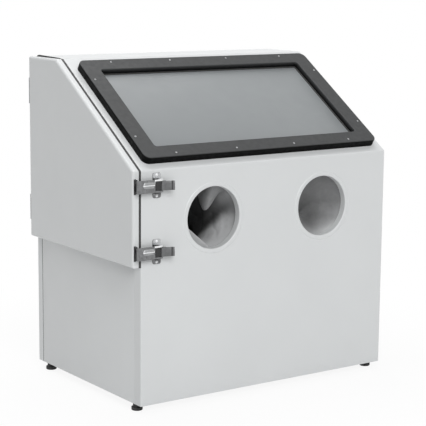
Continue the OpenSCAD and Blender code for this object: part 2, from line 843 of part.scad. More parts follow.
module gun_body() color(gun_grey) placed() difference() {
  union() {
    along_barrel(barrel_front) cylinder(h = barrel_back - barrel_front, r = barrel_r);
    at_gun() translate([media_at, 0, -media_drop]) cylinder(h = media_drop, r = media_r);
    at_gun() slab([trigger_at - lug_r, trigger_at + lug_r], [-lug_w / 2, lug_w / 2], [-lug_low, 0]);
    grip_form();
    at_gun() translate([tail_at[0], 0, tail_at[1] - tail_l]) cylinder(h = tail_l + tail_in, r = tail_r);
  }
  trigger_slot();
  at_trigger() cylinder(h = 2 * lug_w, r = trigger_pin_r + pin_play / 2, center = true);
  along_barrel(barrel_front - past) cylinder(h = nozzle_in + past, r = nozzle_hole_r);
}

module gun_cap() color(dark) placed() along_barrel(barrel_front - cap_l) difference() {
  union() {
    cylinder(h = cap_l, r = cap_r);
    for (k = [0:cap_ribs - 1]) rotate(360 / cap_ribs * k) translate([cap_r, 0, cap_rib_end])
      cylinder(h = cap_l - 2 * cap_rib_end, r = cap_rib_r);
  }
  translate([0, 0, -past]) cylinder(h = cap_l + 2 * past, r = nozzle_hole_r);
}

module gun_nozzle() color(ceramic) placed() along_barrel(barrel_front + nozzle_in - nozzle_l) difference() {
  cylinder(h = nozzle_l, r = nozzle_r);
  translate([0, 0, -past]) cylinder(h = nozzle_l + 2 * past, r = nozzle_bore_r);
}

// A blade that curves forward, down from its eye
trigger_blade = [
  [-4, -1], [4, -1], [3, -20], [1, -38], [-3, -54], [-9, -58], [-11, -54], [-7, -38], [-5, -20]
];
module gun_trigger() color(dark) placed() at_trigger() linear_extrude(trigger_t, center = true) difference() {
  union() {
    circle(trigger_eye_r);
    polygon(trigger_blade);
  }
  circle(trigger_pin_r + pin_play);
}

module gun_trigger_pin() color(bright) placed() at_trigger()
  cylinder(h = lug_w + past, r = trigger_pin_r, center = true);

module gun_holder() color(steel) placed() difference() {
  at_gun() {
    slab([barrel_front + 2, barrel_back], [wall_gap - holder_t, wall_gap], [-barrel_r - 10, barrel_r + 8]);
    for (x = [barrel_front + 2, barrel_back - holder_arm])
      slab([x, x + holder_arm], [-barrel_r - holder_lip, wall_gap], [-barrel_r - 2 * holder_lip, -2]);
  }
  along_barrel(barrel_front - past) cylinder(h = barrel_back - barrel_front + 2 * past, r = barrel_r + 0.2);
}

// Hoses

media_x = gun_x + media_at;
tail_x = gun_x + tail_at[0];
air_low_z = hose_low_z - hose_bend;
air_end_z = air_z + air_elbow_h;

module media_hose() color(dark) placed() pipe_run([
  [media_x, rear_y, gun_z - media_drop],
  [media_x, rear_y, hose_low_z],
  [media_x - lane, rear_y, hose_low_z],
  [media_x - lane, rear_y, hose_high_z],
  [pickup_x, rear_y, hose_high_z],
  [pickup_x, rear_y, pickup_top_z]
], media_r, hose_bend);

module air_hose() color(hose_blue) placed() pipe_run([
  [tail_x, rear_y, gun_z + tail_at[1] - tail_l],
  [tail_x, rear_y, air_low_z],
  [tail_x + lane, rear_y, air_low_z],
  [tail_x + lane, rear_y, hose_high_z],
  [air_x, rear_y, hose_high_z],
  [air_x, rear_y, air_end_z]
], air_r, hose_bend);

// An open clip round an upright hose, on a foot against the rear panel
clip_h = 12;
clip_t = 2;
clip_foot = 10;
clip_play = 0.2;
clip_mouth = 0.7;
clip_zs = [440, 550];
module hose_clip(x, z, r) translate([x, rear_y, z]) difference() {
  union() {
    cylinder(h = clip_h, r = r + clip_play + clip_t);
    slab([-clip_foot / 2, clip_foot / 2], [0, wall_gap], [0, clip_h]);
  }
  translate([0, 0, -past]) cylinder(h = clip_h + 2 * past, r = r + clip_play);
  slab([-clip_mouth * r, clip_mouth * r], [-2 * r, 0], [-past, clip_h + past]);
}
module hose_clips() color(dark) placed() for (z = clip_zs) {
  for (x = [media_x - lane, pickup_x]) hose_clip(x, z, media_r);
  for (x = [tail_x + lane, air_x]) hose_clip(x, z, air_r);
}

// Services

module air_inlet() color(brass) placed() difference() {
  union() {
    facing_rear(air_x, hd, air_z) cylinder(h = inlet_hex, r = inlet_hex_r, $fn = 6);
    facing_rear(air_x, rear_y, air_z) cylinder(h = hd - rear_y + past, r = inlet_neck_r);
    translate([air_x, rear_y, air_z])
      slab([-inlet_block, inlet_block], [-inlet_block, wall_gap], [-inlet_block, inlet_block]);
    translate([air_x, rear_y, air_z]) cylinder(h = air_elbow_h, r = air_r + 1);
  }
  facing_rear(air_x, hd + inlet_hex - air_thread_l, air_z)
    cylinder(h = air_thread_l + past, r = air_thread_r);
}

module dust_outlet() color(steel) placed() facing_rear(-dust_x, hd, dust_z) difference() {
  union() {
    cylinder(h = dust_flange_t, r = dust_flange_r);
    cylinder(h = dust_flange_t + dust_l, r = dust_r);
  }
  translate([0, 0, -past]) cylinder(h = dust_flange_t + dust_l + 2 * past, r = dust_r - sheet);
}

// A hood inside, open at its bottom, that keeps the blast out of the dust outlet
module dust_baffle() color(paint) placed() translate([-dust_x, in_d, dust_z]) difference() {
  half = baffle_w / 2;
  slab([-half, half], [-baffle_d, 0], [-half, half]);
  slab([sheet - half, half - sheet], [sheet - baffle_d, past], [-half - past, half - sheet]);
}

module lamp_slab(wall, z) slab(
  [wall - lamp_w / 2, lamp_w / 2 - wall],
  [lamp_y - lamp_d / 2 + wall, lamp_y + lamp_d / 2 - wall],
  z
);
module lamp_housing() color(paint) placed() difference() {
  lamp_slab(0, [lamp_top - lamp_h, lamp_top]);
  lamp_slab(lamp_wall, [lamp_top - lamp_h - past, lamp_top - lamp_wall]);
}
module lamp_lens() color(lens_white) placed()
  lamp_slab(lamp_wall, [lamp_top - lamp_h, lamp_top - lamp_h + lens_t]);

module cable_gland() color(dark) placed() difference() {
  union() {
    facing_rear(air_x, hd, gland_z) cylinder(h = gland_hex_h, r = gland_r + 3, $fn = 6);
    facing_rear(air_x, hd, gland_z) cylinder(h = gland_l, r = gland_r);
    facing_rear(air_x, in_d - gland_nut_h, gland_z) cylinder(h = gland_nut_h + sheet, r = gland_neck_r);
    facing_rear(air_x, in_d - gland_nut_h, gland_z) cylinder(h = gland_nut_h, r = gland_r + 2, $fn = 6);
  }
  facing_rear(air_x, in_d - gland_nut_h - past, gland_z)
    cylinder(h = gland_nut_h + sheet + gland_l + 2 * past, r = gland_bore_r);
}

// Hinges: knuckles with even numbers belong to the body, odd ones to the door

module hinge_leaf_form(i, first, x0, x1, x_axis) {
  step = hinge_h / knuckles;
  z0 = hinge_zs[i] - hinge_h / 2;
  difference() {
    union() {
      slab([x0, x1], [hd, hd + hinge_leaf_t], [z0, z0 + hinge_h]);
      for (k = [first:2:knuckles - 1]) {
        z = [z0 + k * step + knuckle_gap / 2, z0 + (k + 1) * step - knuckle_gap / 2];
        slab(
          x_axis > x1 ? [x1 - past, x_axis] : [x_axis, x0 + past],
          [hinge_axis_y - knuckle_r, hd + hinge_leaf_t],
          z
        );
        translate([hinge_axis_x, hinge_axis_y, z[0]]) cylinder(h = z[1] - z[0], r = knuckle_r);
      }
    }
    translate([hinge_axis_x, hinge_axis_y, z0 - past])
      cylinder(h = hinge_h + 2 * past, r = hinge_pin_r + (first == 1 ? pin_play : pin_play / 2));
  }
}

body_leaf_x = hinge_axis_x + knuckle_r + leaf_gap;
door_leaf_x = hinge_axis_x - knuckle_r - leaf_gap;
module hinge_leaf(i) color(bright) placed()
  hinge_leaf_form(i, 0, body_leaf_x, body_leaf_x + hinge_leaf_w, hinge_axis_x);
module door_leaf(i) color(bright) placed()
  hinge_leaf_form(i, 1, door_x + sheet, door_leaf_x, hinge_axis_x);

module hinge_pins() color(steel) placed() for (z = hinge_zs)
  translate([hinge_axis_x, hinge_axis_y, z - hinge_h / 2 - past])
    cylinder(h = hinge_h + 2 * past, r = hinge_pin_r);

// Door

module door_pan() color(paint) placed() difference() {
  union() {
    along_x(door_x, sheet) polygon(door_outline(0));
    along_x(door_x, door_t) difference() {
      polygon(door_outline(0));
      polygon(door_outline(sheet));
    }
  }
  for (i = [0, 1]) at_latch(i) keeper_rivet_places() rivet_hole();
}

door_face = left - door_gap;
module door_liner() color(paint) placed() along_x(door_face - sheet, sheet) polygon(door_outline(sheet));

module door_seal() color(dark) placed() along_x(door_face, door_gap - seal_play) difference() {
  polygon(door_outline(seal_inset));
  polygon(door_outline(seal_inset + seal_w));
}

// Latches

module rivet_hole() cylinder(h = punch, r = rivet_r + pin_play, center = true);
module latch_rivet_places() for (s = [-1, 1])
  translate([base_left + base_w / 2, 0, s * (latch_base_h / 2 - base_rivet_end)]) rotate([90, 0, 0])
    children();

module latch_base(i) color(bright) placed() at_latch(i) difference() {
  union() {
    translate([base_left + base_w / 2, latch_t, 0]) rotate([90, 0, 0])
      linear_extrude(latch_t) rounded_rect(base_w, latch_base_h, base_r);
    for (s = [0, 1]) mirror([0, 0, s]) translate([0, 0, cheek_z]) linear_extrude(cheek_t) {
      translate([latch_x, latch_out]) circle(cheek_r);
      translate([base_left, latch_t / 2]) square([2 * (latch_x - base_left), latch_out - latch_t / 2]);
    }
  }
  translate([latch_x, latch_out, 0])
    cylinder(h = 2 * latch_base_h, r = pivot_r + pin_play / 2, center = true);
  latch_rivet_places() rivet_hole();
}

module at_pivot(i) at_latch(i) translate([latch_x, latch_out, 0]) children();

module latch_pivots() color(steel) placed() for (i = [0, 1]) at_pivot(i)
  cylinder(h = 2 * (cheek_z + cheek_t) + past, r = pivot_r, center = true);

// A flared plate with a turned-up finger end, on two webs that run to a hub on the pivot and take both pins
lever_bend = lever_l - lever_end;
web_tip = latch_throw + web_end;
function lever_mid(x) =
  lever_rise - latch_t / 2 + lever_flare * (x - lever_root) / (lever_bend - lever_root);
lever_plate = [
  [lever_root, lever_rise - latch_t], [lever_bend, lever_rise + lever_flare - latch_t],
  [lever_l, lever_rise + lever_flare + lever_kick - latch_t],
  [lever_l, lever_rise + lever_flare + lever_kick],
  [lever_bend, lever_rise + lever_flare], [lever_root, lever_rise]
];
lever_web = [
  [-pivot_r, -web_drop], [latch_throw + 3, -web_drop], [web_tip, 1], [web_tip, lever_mid(web_tip)],
  [lever_root, lever_mid(lever_root)], [-pivot_r, web_drop]
];
module lever(i) color(bright) placed() at_pivot(i) difference() {
  union() {
    translate([0, 0, -lever_h / 2]) linear_extrude(lever_h) polygon(lever_plate);
    for (s = [0, 1]) mirror([0, 0, s]) translate([0, 0, lever_h / 2 - latch_t])
      linear_extrude(latch_t) polygon(lever_web);
    cylinder(h = lever_h, r = hub_r, center = true);
  }
  cylinder(h = 2 * lever_h, r = pivot_r + pin_play, center = true);
  translate(hook_pivot) cylinder(h = 2 * lever_h, r = hook_pin_r + pin_play / 2, center = true);
}

module hook_pin(i) color(steel) placed() at_pivot(i) translate(hook_pivot)
  cylinder(h = lever_h + 2 * (arm_gap + arm_t), r = hook_pin_r, center = true);

// A ribbed strap with two arms, each arm stepping over the lever's pivot down to the hook's own pivot
hook_tip = -latch_x - hook_over;
hook_arm = [
  [-10, hook_level], [6, hook_level], [latch_throw - 2.6, -latch_over - 1.8],
  [latch_throw + 2.6, -latch_over + 1.8], [11, hook_level + latch_t], [-10, hook_level + latch_t]
];
module hook(i) color(bright) placed() at_pivot(i) difference() {
  union() {
    slab([hook_tip, strap_end], [hook_level, hook_level + latch_t], [-hook_h / 2, hook_h / 2]);
    intersection() {
      translate([strap_end - past - rib_l, hook_level + latch_t + rib_rise - rib_r, 0])
        rotate([0, 90, 0]) cylinder(h = rib_l, r = rib_r);
      slab([hook_tip, strap_end], [hook_level + latch_t / 2, 2 * lever_tip], [-hook_h / 2, hook_h / 2]);
    }
    translate([hook_tip + 2, hook_level - roll_r + latch_t, -hook_h / 2]) cylinder(h = hook_h, r = roll_r);
    for (s = [0, 1]) mirror([0, 0, s]) translate([0, 0, lever_h / 2 + arm_gap]) linear_extrude(arm_t) {
      polygon(hook_arm);
      translate(hook_pivot) circle(hook_eye_r);
    }
  }
  translate(hook_pivot) cylinder(h = 2 * hook_h, r = hook_pin_r + pin_play, center = true);
}

module keeper_rivet_places() for (s = [-1, 1])
  translate([keeper_left + keeper_w / 2, 0, s * (keeper_h / 2 - keeper_rivet_end)]) rotate([90, 0, 0])
    children();

module keeper(i) color(steel) placed() at_latch(i) difference() {
  union() {
    slab([keeper_left, keeper_left + keeper_w], [0, latch_t], [-keeper_h / 2, keeper_h / 2]);
    translate([keeper_left + keeper_lip_in, 0, 0])
      slab([0, latch_t], [0, keeper_out], [-keeper_lip / 2, keeper_lip / 2]);
  }
  keeper_rivet_places() rivet_hole();
}

// A rivet with its head outward: Z points into the panel
module rivet() rotate_extrude() polygon([
  [0, -latch_t - rivet_head_h], [rivet_head_r * 0.6, -latch_t - rivet_head_h], [rivet_head_r, -latch_t],
  [rivet_r, -latch_t], [rivet_r, rivet_end - latch_t], [0, rivet_end - latch_t]
]);
module latch_rivets() color(bright) placed() for (i = [0, 1]) at_latch(i) latch_rivet_places() rivet();
module keeper_rivets() color(bright) placed() for (i = [0, 1]) at_latch(i) keeper_rivet_places() rivet();

front_shell();
rear_panel();
left_panel();
right_panel();
base_pan();
foot(-1, -1);  // foot_front_left
foot(1, -1);  // foot_front_right
foot(-1, 1);  // foot_rear_left
foot(1, 1);  // foot_rear_right
foot_studs();
window_gasket();
window_glass();
window_frame();
window_screws();
arm_ring(-1);  // arm_ring_left
arm_ring(1);  // arm_ring_right
glove(-1);  // glove_left
glove(1);  // glove_right
glove_clamps();
grid_rails();
work_grid();
hopper();
pickup_tube();
media_hose();
air_hose();
hose_clips();
gun_holder();
gun_body();
gun_nozzle();
gun_cap();
gun_trigger();
gun_trigger_pin();
air_inlet();
dust_outlet();
dust_baffle();
lamp_housing();
lamp_lens();
cable_gland();
hinge_leaf(1);  // hinge_leaf_upper
hinge_leaf(0);  // hinge_leaf_lower
hinge_pins();
door_pan();
door_liner();
door_seal();
door_leaf(1);  // door_leaf_upper
door_leaf(0);  // door_leaf_lower
keeper(1);  // keeper_upper
keeper(0);  // keeper_lower
keeper_rivets();
latch_base(1);  // latch_base_upper
latch_base(0);  // latch_base_lower
latch_pivots();
latch_rivets();
lever(1);  // lever_upper
lever(0);  // lever_lower
hook(1);  // hook_upper
hook(0);  // hook_lower
hook_pin(1);  // hook_pin_upper
hook_pin(0);  // hook_pin_lower
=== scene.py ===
"""Looks of a bench sandblast cabinet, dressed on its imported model. Metres, +Z up, front at -Y."""
import json
from math import atan2, cos, degrees, exp, hypot, pi, radians, sin, tan, tau

import bmesh
import bpy
from mathutils import Matrix, Vector, noise

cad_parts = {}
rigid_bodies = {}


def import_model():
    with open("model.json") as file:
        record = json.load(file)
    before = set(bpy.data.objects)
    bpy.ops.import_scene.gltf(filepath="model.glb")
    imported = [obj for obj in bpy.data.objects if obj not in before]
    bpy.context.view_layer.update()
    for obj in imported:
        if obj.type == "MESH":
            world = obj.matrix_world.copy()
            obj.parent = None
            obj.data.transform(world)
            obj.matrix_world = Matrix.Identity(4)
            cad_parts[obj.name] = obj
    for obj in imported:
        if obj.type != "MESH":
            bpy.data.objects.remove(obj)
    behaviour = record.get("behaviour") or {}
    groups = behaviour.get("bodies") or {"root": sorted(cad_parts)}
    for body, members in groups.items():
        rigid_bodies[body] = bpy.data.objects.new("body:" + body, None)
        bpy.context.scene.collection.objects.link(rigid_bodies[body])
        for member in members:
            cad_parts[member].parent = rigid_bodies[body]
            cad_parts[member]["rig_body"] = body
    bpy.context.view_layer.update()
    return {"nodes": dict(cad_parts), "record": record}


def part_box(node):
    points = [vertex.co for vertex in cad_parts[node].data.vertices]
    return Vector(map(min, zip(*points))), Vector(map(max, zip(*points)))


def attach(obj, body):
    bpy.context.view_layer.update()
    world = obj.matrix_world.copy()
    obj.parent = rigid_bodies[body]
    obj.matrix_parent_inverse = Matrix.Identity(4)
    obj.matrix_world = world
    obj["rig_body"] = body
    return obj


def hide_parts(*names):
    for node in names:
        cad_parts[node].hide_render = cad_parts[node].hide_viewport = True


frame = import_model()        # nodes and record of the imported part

nodes = frame["nodes"]
MM = 0.001

# Camera of the photograph: frame and focal length in pixels, place and angles, and how far it sees
PHOTO_SIDE = 426
PHOTO_FOCAL = 1440.3
SENSOR = 36
EYE = Vector((-1.924, -2.784, 0.953))
YAW = radians(35.02)
PITCH = radians(9.66)
ROLL = radians(0.51)
VIEW_END = 300

# Light: strength of the sky, where the softboxes aim, and power, place and size of each softbox
SKY_LIGHT = 0.3
LIT_POINT = Vector((0, 0, 0.4))
FRONT_BOX = (298, (-2.16, -5.49, 4.53), 4)
TOP_BOX = (54, (0, 0.9, 3.4), 2.5)

# Floor: its size and tone, and its share of plain white near the cabinet, which grows to all of it far out
FLOOR_SIZE = 120
FLOOR_TONE = 0.9
FLOOR_WHITE = 0.9
FLOOR_SPAN = (0.35, 1)

# Working of meshes: welding of points, joining of flat faces, hard edges and their rounding, steps of
# curves, reach and play of cutters, and how much of a normal counts as facing a way, or as square to it
NODE_WELD = 0.002 * MM
SHEET_WELD = 0.01 * MM
FINE_WELD = 0.001 * MM
FLAT_ANGLE = radians(0.5)
HARD_ANGLE = radians(35)
BEVEL_SEGMENTS = 2
FOLD_STEPS = 6
FEW_STEPS = 8
SOME_STEPS = 16
MANY_STEPS = 24
CUT_REACH = 10 * MM
CUT_PLAY = 4 * MM
FACING = 0.3
SQUARE = 0.9

# Body of the cabinet
SHELL_LOW, SHELL_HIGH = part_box("front_shell")
LEFT, FRONT, BASE = SHELL_LOW
RIGHT, REAR, TOP = SHELL_HIGH
FRONT_H = 514 * MM
SLOPE_RUN = 330 * MM
SHEET = 1.5 * MM
FOLD_R = 6 * MM
FLANGE_W = 27 * MM
REAR_FLANGE_W = 20 * MM
SIDE_FOLD_R = 2.5 * MM

# Door: its pan, the lip along its top with its rise at each end, the seal in the gap in front of it, and
# the beads of sealant at the rear corners
DOOR_LOW, DOOR_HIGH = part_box("door_pan")
DOOR_CORNER_R = 2.5 * MM
DOOR_LEAST_R = 0.2 * MM
DOOR_FOLD_R = 6 * MM
HEM_R = 1.5 * MM
LIP_PLAY = 0.4 * MM
LIP_H = 4 * MM
LIP_FRONT_H = 1.4 * MM
LIP_FOOT = 3 * MM
LIP_FRONT_RAMP = 8
LIP_REAR_RAMP = 16
GAP_SINK = 0.4 * MM
GAP_SHOULDER = 1.2 * MM
GAP_OVER = 1 * MM
SEAM_W = 3 * MM
SEAM_RISE = 0.4 * MM
SEAM_SINK = 0.3 * MM

# Window, measured on the slope: its frame and sight, its screws with the shares of a head that the recess
# takes, and the bead round the glass
FRAME_SIDE_GAP = 17.5 * MM
FRAME_LOW_GAP = 19.5 * MM
FRAME_TOP_GAP = 29 * MM
FRAME_T = 17.5 * MM
FRAME_SIDE_W = 42.5 * MM
FRAME_RAIL_W = 37 * MM
FRAME_R = 16 * MM
FRAME_EDGE_R = 2 * MM
SIGHT_R = 6 * MM
GLASS_TOP = 4 * MM
SCREW_COUNT = 4
SCREW_EDGE = 11 * MM
SCREW_ROW_END = 82 * MM
SCREW_SIDE_END = 72 * MM
SCREW_R = 2.4 * MM
SCREW_H = 1.5 * MM
SCREW_RINGS = 9
SCREW_STEPS = 32
SCREW_CUT = 0.05 * MM
SCREW_EDGE_R = 0.15 * MM
RECESS_W = 0.16
RECESS_L = 0.62
RECESS_DEEP = 0.45
BEAD_W = 5 * MM
BEAD_H = 2.2 * MM
BEAD_TUCK = 0.2 * MM

# Latches: a lever's hub and groove, painted shade in black, and the black block between its webs that
# stands in for shade, a base's plate and tab, a hook's arms and rib, with painted highlights on the tab,
# the upper arms and the rib's crest, and a keeper's edge, painted shade in black
HUB_SHARE = 0.33
GROOVE_FROM = 7 * MM
GROOVE_TO = 4.4 * MM
GROOVE_DEEP = 0.7 * MM
LEVER_EDGE_R = 0.2 * MM
SHADE_BLOCK_R = 4.9 * MM
SHADE_BLOCK_L = 8.3 * MM
SHADE_BLOCK_H = 16.6 * MM
SHADE_BLOCK_EDGE_R = 0.4 * MM
PLATE_T = 2 * MM
PLATE_EDGE_R = 0.3 * MM
TAB_FROM = 9 * MM
HOOK_STEP = 10 * MM
HOOK_UP = 7 * MM
RIB_FROM = 14.5 * MM
RIB_L = 30 * MM
RIB_W = 14 * MM
RIB_RISE = 2.2 * MM
RIB_STRAP = 1.6 * MM
RIB_SINK = 0.2 * MM
RIB_UP = 2.5 * MM
RIB_CREST = 2.2 * MM
RIB_BLUNT = 6
RIB_END = 0.002
KEEPER_EDGE = 4.6 * MM

# Arm holes: their rim, which swells, rises and rolls inward, and their collar
ARM_LOW, ARM_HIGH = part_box("arm_ring_left")
RIM_W = 12 * MM
RIM_SWELL = 4 * MM
RIM_RISE = 1.4 * MM
RIM_ROLL = 2.5 * MM
RIM_TUCK = 0.3 * MM
ARM_R = (ARM_HIGH.x - ARM_LOW.x) / 2 - RIM_W
ARM_STEPS = 128
CUTTER_STEPS = 96
COLLAR_T = 2 * MM
COLLAR_L = 16 * MM

# Gloves, in the form of their solids, and how deep the painted shade on their cloth starts and where it is
# full, where the rubber wrist starts
GLOVE_L = 218 * MM
CUFF_R = 75.6 * MM
PALM_R = 48 * MM
PALM_T = 19 * MM
FINGER_L = 68 * MM
FINGER_R = 11 * MM
HAND_DROP = 74 * MM
CLOTH_DEEP = 62 * MM
WRIST_DEEP = 112 * MM
SLEEVE_ROWS = 130
SLEEVE_STEPS = 224
SLEEVE_WALL = 2 * MM

# Rings of a sleeve: way in, drop, tilt in degrees, half width and half height of each
GLOVE_RINGS = [(4 * MM, 0, 0, CUFF_R, CUFF_R), (COLLAR_L, 0, 0, CUFF_R, CUFF_R)]
for way, drop, *form in (
    (0.16, 0.06, 15, 0.96 * CUFF_R, 0.96 * CUFF_R),
    (0.3, 0.22, 30, 0.86 * CUFF_R, 0.86 * CUFF_R),
    (0.42, 0.44, 38, 1.12 * PALM_R, 1.08 * PALM_R),
    (0.53, 0.66, 36, 0.96 * PALM_R, 0.83 * PALM_R),
    (0.65, 0.83, 24, 0.92 * PALM_R, 1.45 * PALM_T),
):
    GLOVE_RINGS.append((COLLAR_L + way * GLOVE_L, drop * HAND_DROP, *form))

# Hands: place, length and thickness of each finger and places of the palm's bars, as shares, the way in to
# the knuckles, the fingers' sag, and the steps that run them together
FINGERS = ((0.69, 0.85, 0.95), (0.25, 1, 1), (-0.21, 0.94, 1), (-0.65, 0.7, 0.91))
PALM_BARS = (-0.62, -0.2, 0.2, 0.62)
KNUCKLE_IN = COLLAR_L + 0.94 * GLOVE_L
SAG = 0.27 * FINGER_R
BALL_STEP = 0.25
HAND_GRAIN = 2.2 * MM
HAND_RELAX = 8

# Slack of a sleeve, and where it sets in and ends along it; and of its folds and fine wrinkles the
# pitch round it, the two seeds, the pitch along it and the depth
SLACK = 0.06
SLACK_IN = (0.16, 0.4)
SLACK_END = 0.15
WRINKLES = ((1.6, 3, 0, 7, 0.05), (4, 5, 2, 16, 0.008))

# A hanging fold: its start, tip and end across the sleeve, its place and length along it, its fall
# A lobe: its angle and half its spread in degrees round the sleeve, its place and length along it
# A pinch: the point across and up that it draws to, its place and length along the sleeve, its depth
LEFT_FOLD = (3 * MM, 11 * MM, 54 * MM, 0.285, 0.07, 57 * MM)
LEFT_LOBE = (230, 45, 0.205, 0.05)
RIGHT_PINCH = (-28 * MM, -26 * MM, 0.33, 0.1, 0.99)
HANG_FROM = 0.6
PINCH_FLAT = 0.7

# Painted light and shade on the left sleeve's cloth, brighter above: painted shade in a crease in degrees,
# with its turn and growth per millimetre inward, painted light below it, beside it and on the sleeve's bed,
# and painted shade on the fold's flank
LEFT_PAINTED_TONE = 1.35
LEFT_PAINTED_LIGHT_UP = 0.25
CREASE_AT = 26
CREASE_TURN = 0.3
CREASE_W = 5
CREASE_GROW = 0.1
CREASE_DEEP = 95 * MM
CREASE_PAINTED_SHADE = 0.85
PALE_BELOW = 24
PALE_W = 11
BELOW_PAINTED_LIGHT = 0.3
PALE_AT = 33
PALE_UP_W = 16
BESIDE_PAINTED_LIGHT = 0.35
PALE_DEEP = (45 * MM, 65 * MM)
BED_LOW = (12 * MM, 42 * MM)
BED_DEEP = (80 * MM, 125 * MM)
BED_PAINTED_LIGHT = 0.4
FLANK_H = 25 * MM
FLANK_EDGE = 4 * MM
FLANK_TOP = (40 * MM, 56 * MM)
FLANK_PAINTED_SHADE = 0.88

# Painted light and shade on the right sleeve's cloth: painted light below, and painted shade about the
# point where it is drawn together
RIGHT_PAINTED_TONE = 1.06
RIGHT_PAINTED_LIGHT_LOW = 1.2
PINCH_X = -13.5 * MM
PINCH_Z = -35 * MM
PINCH_R = 54 * MM
PINCH_PAINTED_SHADE = 0.79

# Hoses, along the rear wall
HOSE_Y = 206.5
HOSE_BEND = 30 * MM
BEND_STEPS = 12

# Finishes: the range that a noise keeps to, an even stretch, the rise of a normal over which the cloth
# grows paler, partly as dust and partly as painted light, the grain of that, and what painted shade leaves
# of the cloth's colour at the wrist
NOISE_SPAN = (0.3, 0.7)
EVEN = (1, 1, 1)
DUST_AND_PAINTED_LIGHT_SPAN = (-0.05, 0.55)
DUST_GRAIN = 0.05
WRIST_SHADE = 0.06


# Shapes

def linked(name, data):
    """A new object for a mesh, a lamp or a camera, in the scene."""
    piece = bpy.data.objects.new(name, data)
    bpy.context.scene.collection.objects.link(piece)
    return piece


def from_bmesh(name, bm, smooth=True):
    bmesh.ops.recalc_face_normals(bm, faces=bm.faces[:])
    mesh = bpy.data.meshes.new(name)
    bm.to_mesh(mesh)
    bm.free()
    mesh.polygons.foreach_set("use_smooth", [smooth] * len(mesh.polygons))
    return linked(name, mesh)


def applied(piece):
    """The piece with its modifiers worked into its mesh."""
    bpy.context.view_layer.update()
    graph = bpy.context.evaluated_depsgraph_get()
    mesh = bpy.data.meshes.new_from_object(piece.evaluated_get(graph))
    piece.modifiers.clear()
    piece.data = mesh
    return piece


def evened(piece):
    """Flat faces stay flat beside small round ones."""
    even = piece.modifiers.new("even", "WEIGHTED_NORMAL")
    even.weight = 100
    even.keep_sharp = True
    return piece


def bevelled(piece, width):
    """Rounds a piece's edges. Returns the modifier that does it."""
    bevel = piece.modifiers.new("edges", "BEVEL")
    bevel.width = width
    bevel.segments = BEVEL_SEGMENTS
    bevel.harden_normals = True
    return bevel


def thickened(piece, wall):
    """Gives a sheet its wall, on the inner side. Returns the modifier that does it."""
    thick = piece.modifiers.new("thick", "SOLIDIFY")
    thick.thickness = wall
    thick.offset = -1
    return thick


def holed(piece, cutters):
    """The piece with its modifiers worked in and the cutters taken out of it."""
    for cutter in cutters:
        cut = piece.modifiers.new("cut", "BOOLEAN")
        cut.object = cutter
        cut.solver = "EXACT"
    applied(piece)
    for cutter in cutters:
        bpy.data.objects.remove(cutter)
    return piece


def dressed(piece, body, slot, finish, *stood_for):
    """Gives a piece its finish and its body, and hides the nodes that it stands for."""
    for f in finish if isinstance(finish, (list, tuple)) else [finish]:
        piece.data.materials.append(f)
    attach(piece, body)
    if stood_for:
        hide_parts(*stood_for)
    return piece


def painted(piece, choose):
    """Gives each face of a piece the finish whose number choose names."""
    for polygon in piece.data.polygons:
        polygon.material_index = int(choose(polygon))
    return piece


def slot_of(node):
    """The material slot that the record gives a node."""
    return next(s for s in frame["record"]["subparts"] if s["node"] == node)["material_slot"]


def middle_of(node):
    low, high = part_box(node)
    return (low + high) / 2


def welded(bm, distance):
    bmesh.ops.remove_doubles(bm, verts=bm.verts[:], dist=distance)


def softened(node, finish, width, shape=None):
    """A node's own shape, first worked on by shape, with its hard edges rounded, standing for the node."""
    bm = bmesh.new()
    bm.from_mesh(nodes[node].data)
    welded(bm, NODE_WELD)
    bmesh.ops.dissolve_limit(bm, angle_limit=FLAT_ANGLE, verts=bm.verts[:], edges=bm.edges[:])
    if shape:
        bm.normal_update()
        shape(bm)
    weight = bm.edges.layers.float.new("bevel_weight_edge")
    for edge in bm.edges:
        hard = len(edge.link_faces) == 2 and edge.calc_face_angle(0) > HARD_ANGLE
        edge[weight] = 1.0 if hard and edge.calc_length() > 2 * width else 0.0
        edge.smooth = not hard or edge[weight] > 0
    piece = from_bmesh(node + "_finish", bm)
    bevelled(piece, width).limit_method = "WEIGHT"
    return dressed(piece, nodes[node]["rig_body"], slot_of(node), finish, node)


def loft(bm, loops, closed=True, skip=lambda row, column: False):
    """Quads between rows of points. Returns the rows of vertices."""
    rows = [[bm.verts.new(p) for p in loop] for loop in loops]
    count = len(rows[0])
    for i in range(len(rows) - 1):
        for j in range(count if closed else count - 1):
            k = (j + 1) % count
            if not skip(i, j):
                bm.faces.new((rows[i][j], rows[i][k], rows[i + 1][k], rows[i + 1][j]))
    return rows


def tube(name, loops, smooth=True):
    """A new piece lofted through loops of points, with a face at each end."""
    bm = bmesh.new()
    rows = loft(bm, loops)
    bm.faces.new(rows[0])
    bm.faces.new(rows[-1])
    return from_bmesh(name, bm, smooth)


def loop_of(name, loops, weld):
    """A new piece lofted through loops of points and back to the first."""
    bm = bmesh.new()
    loft(bm, loops + loops[:1])
    welded(bm, weld)
    return from_bmesh(name, bm)


def arc(sweep, steps):
    """Even steps from nought to sweep, with both ends."""
    return [sweep * k / steps for k in range(steps + 1)]


def circle(steps):
    """Angles all round, each once."""
    return arc(tau, steps)[:-1]


def lathe(profile, centre, steps):
    """Loops of a profile of (radius, height) turned about a line through centre, heights to the front."""
    front = Vector((0, -1, 0))
    spokes = [Vector((cos(a), 0, sin(a))) for a in circle(steps)]
    return [[centre + front * height + spoke * radius for spoke in spokes] for radius, height in profile]


def headings(path):
    """The direction of a path at each of its points."""
    last = len(path) - 1
    return [(path[min(i + 1, last)] - path[max(i - 1, 0)]).normalized() for i in range(len(path))]


def at_x(x, points):
    """Points of Y and Z, set at x."""
    return [Vector((x, p.x, p.y)) for p in points]


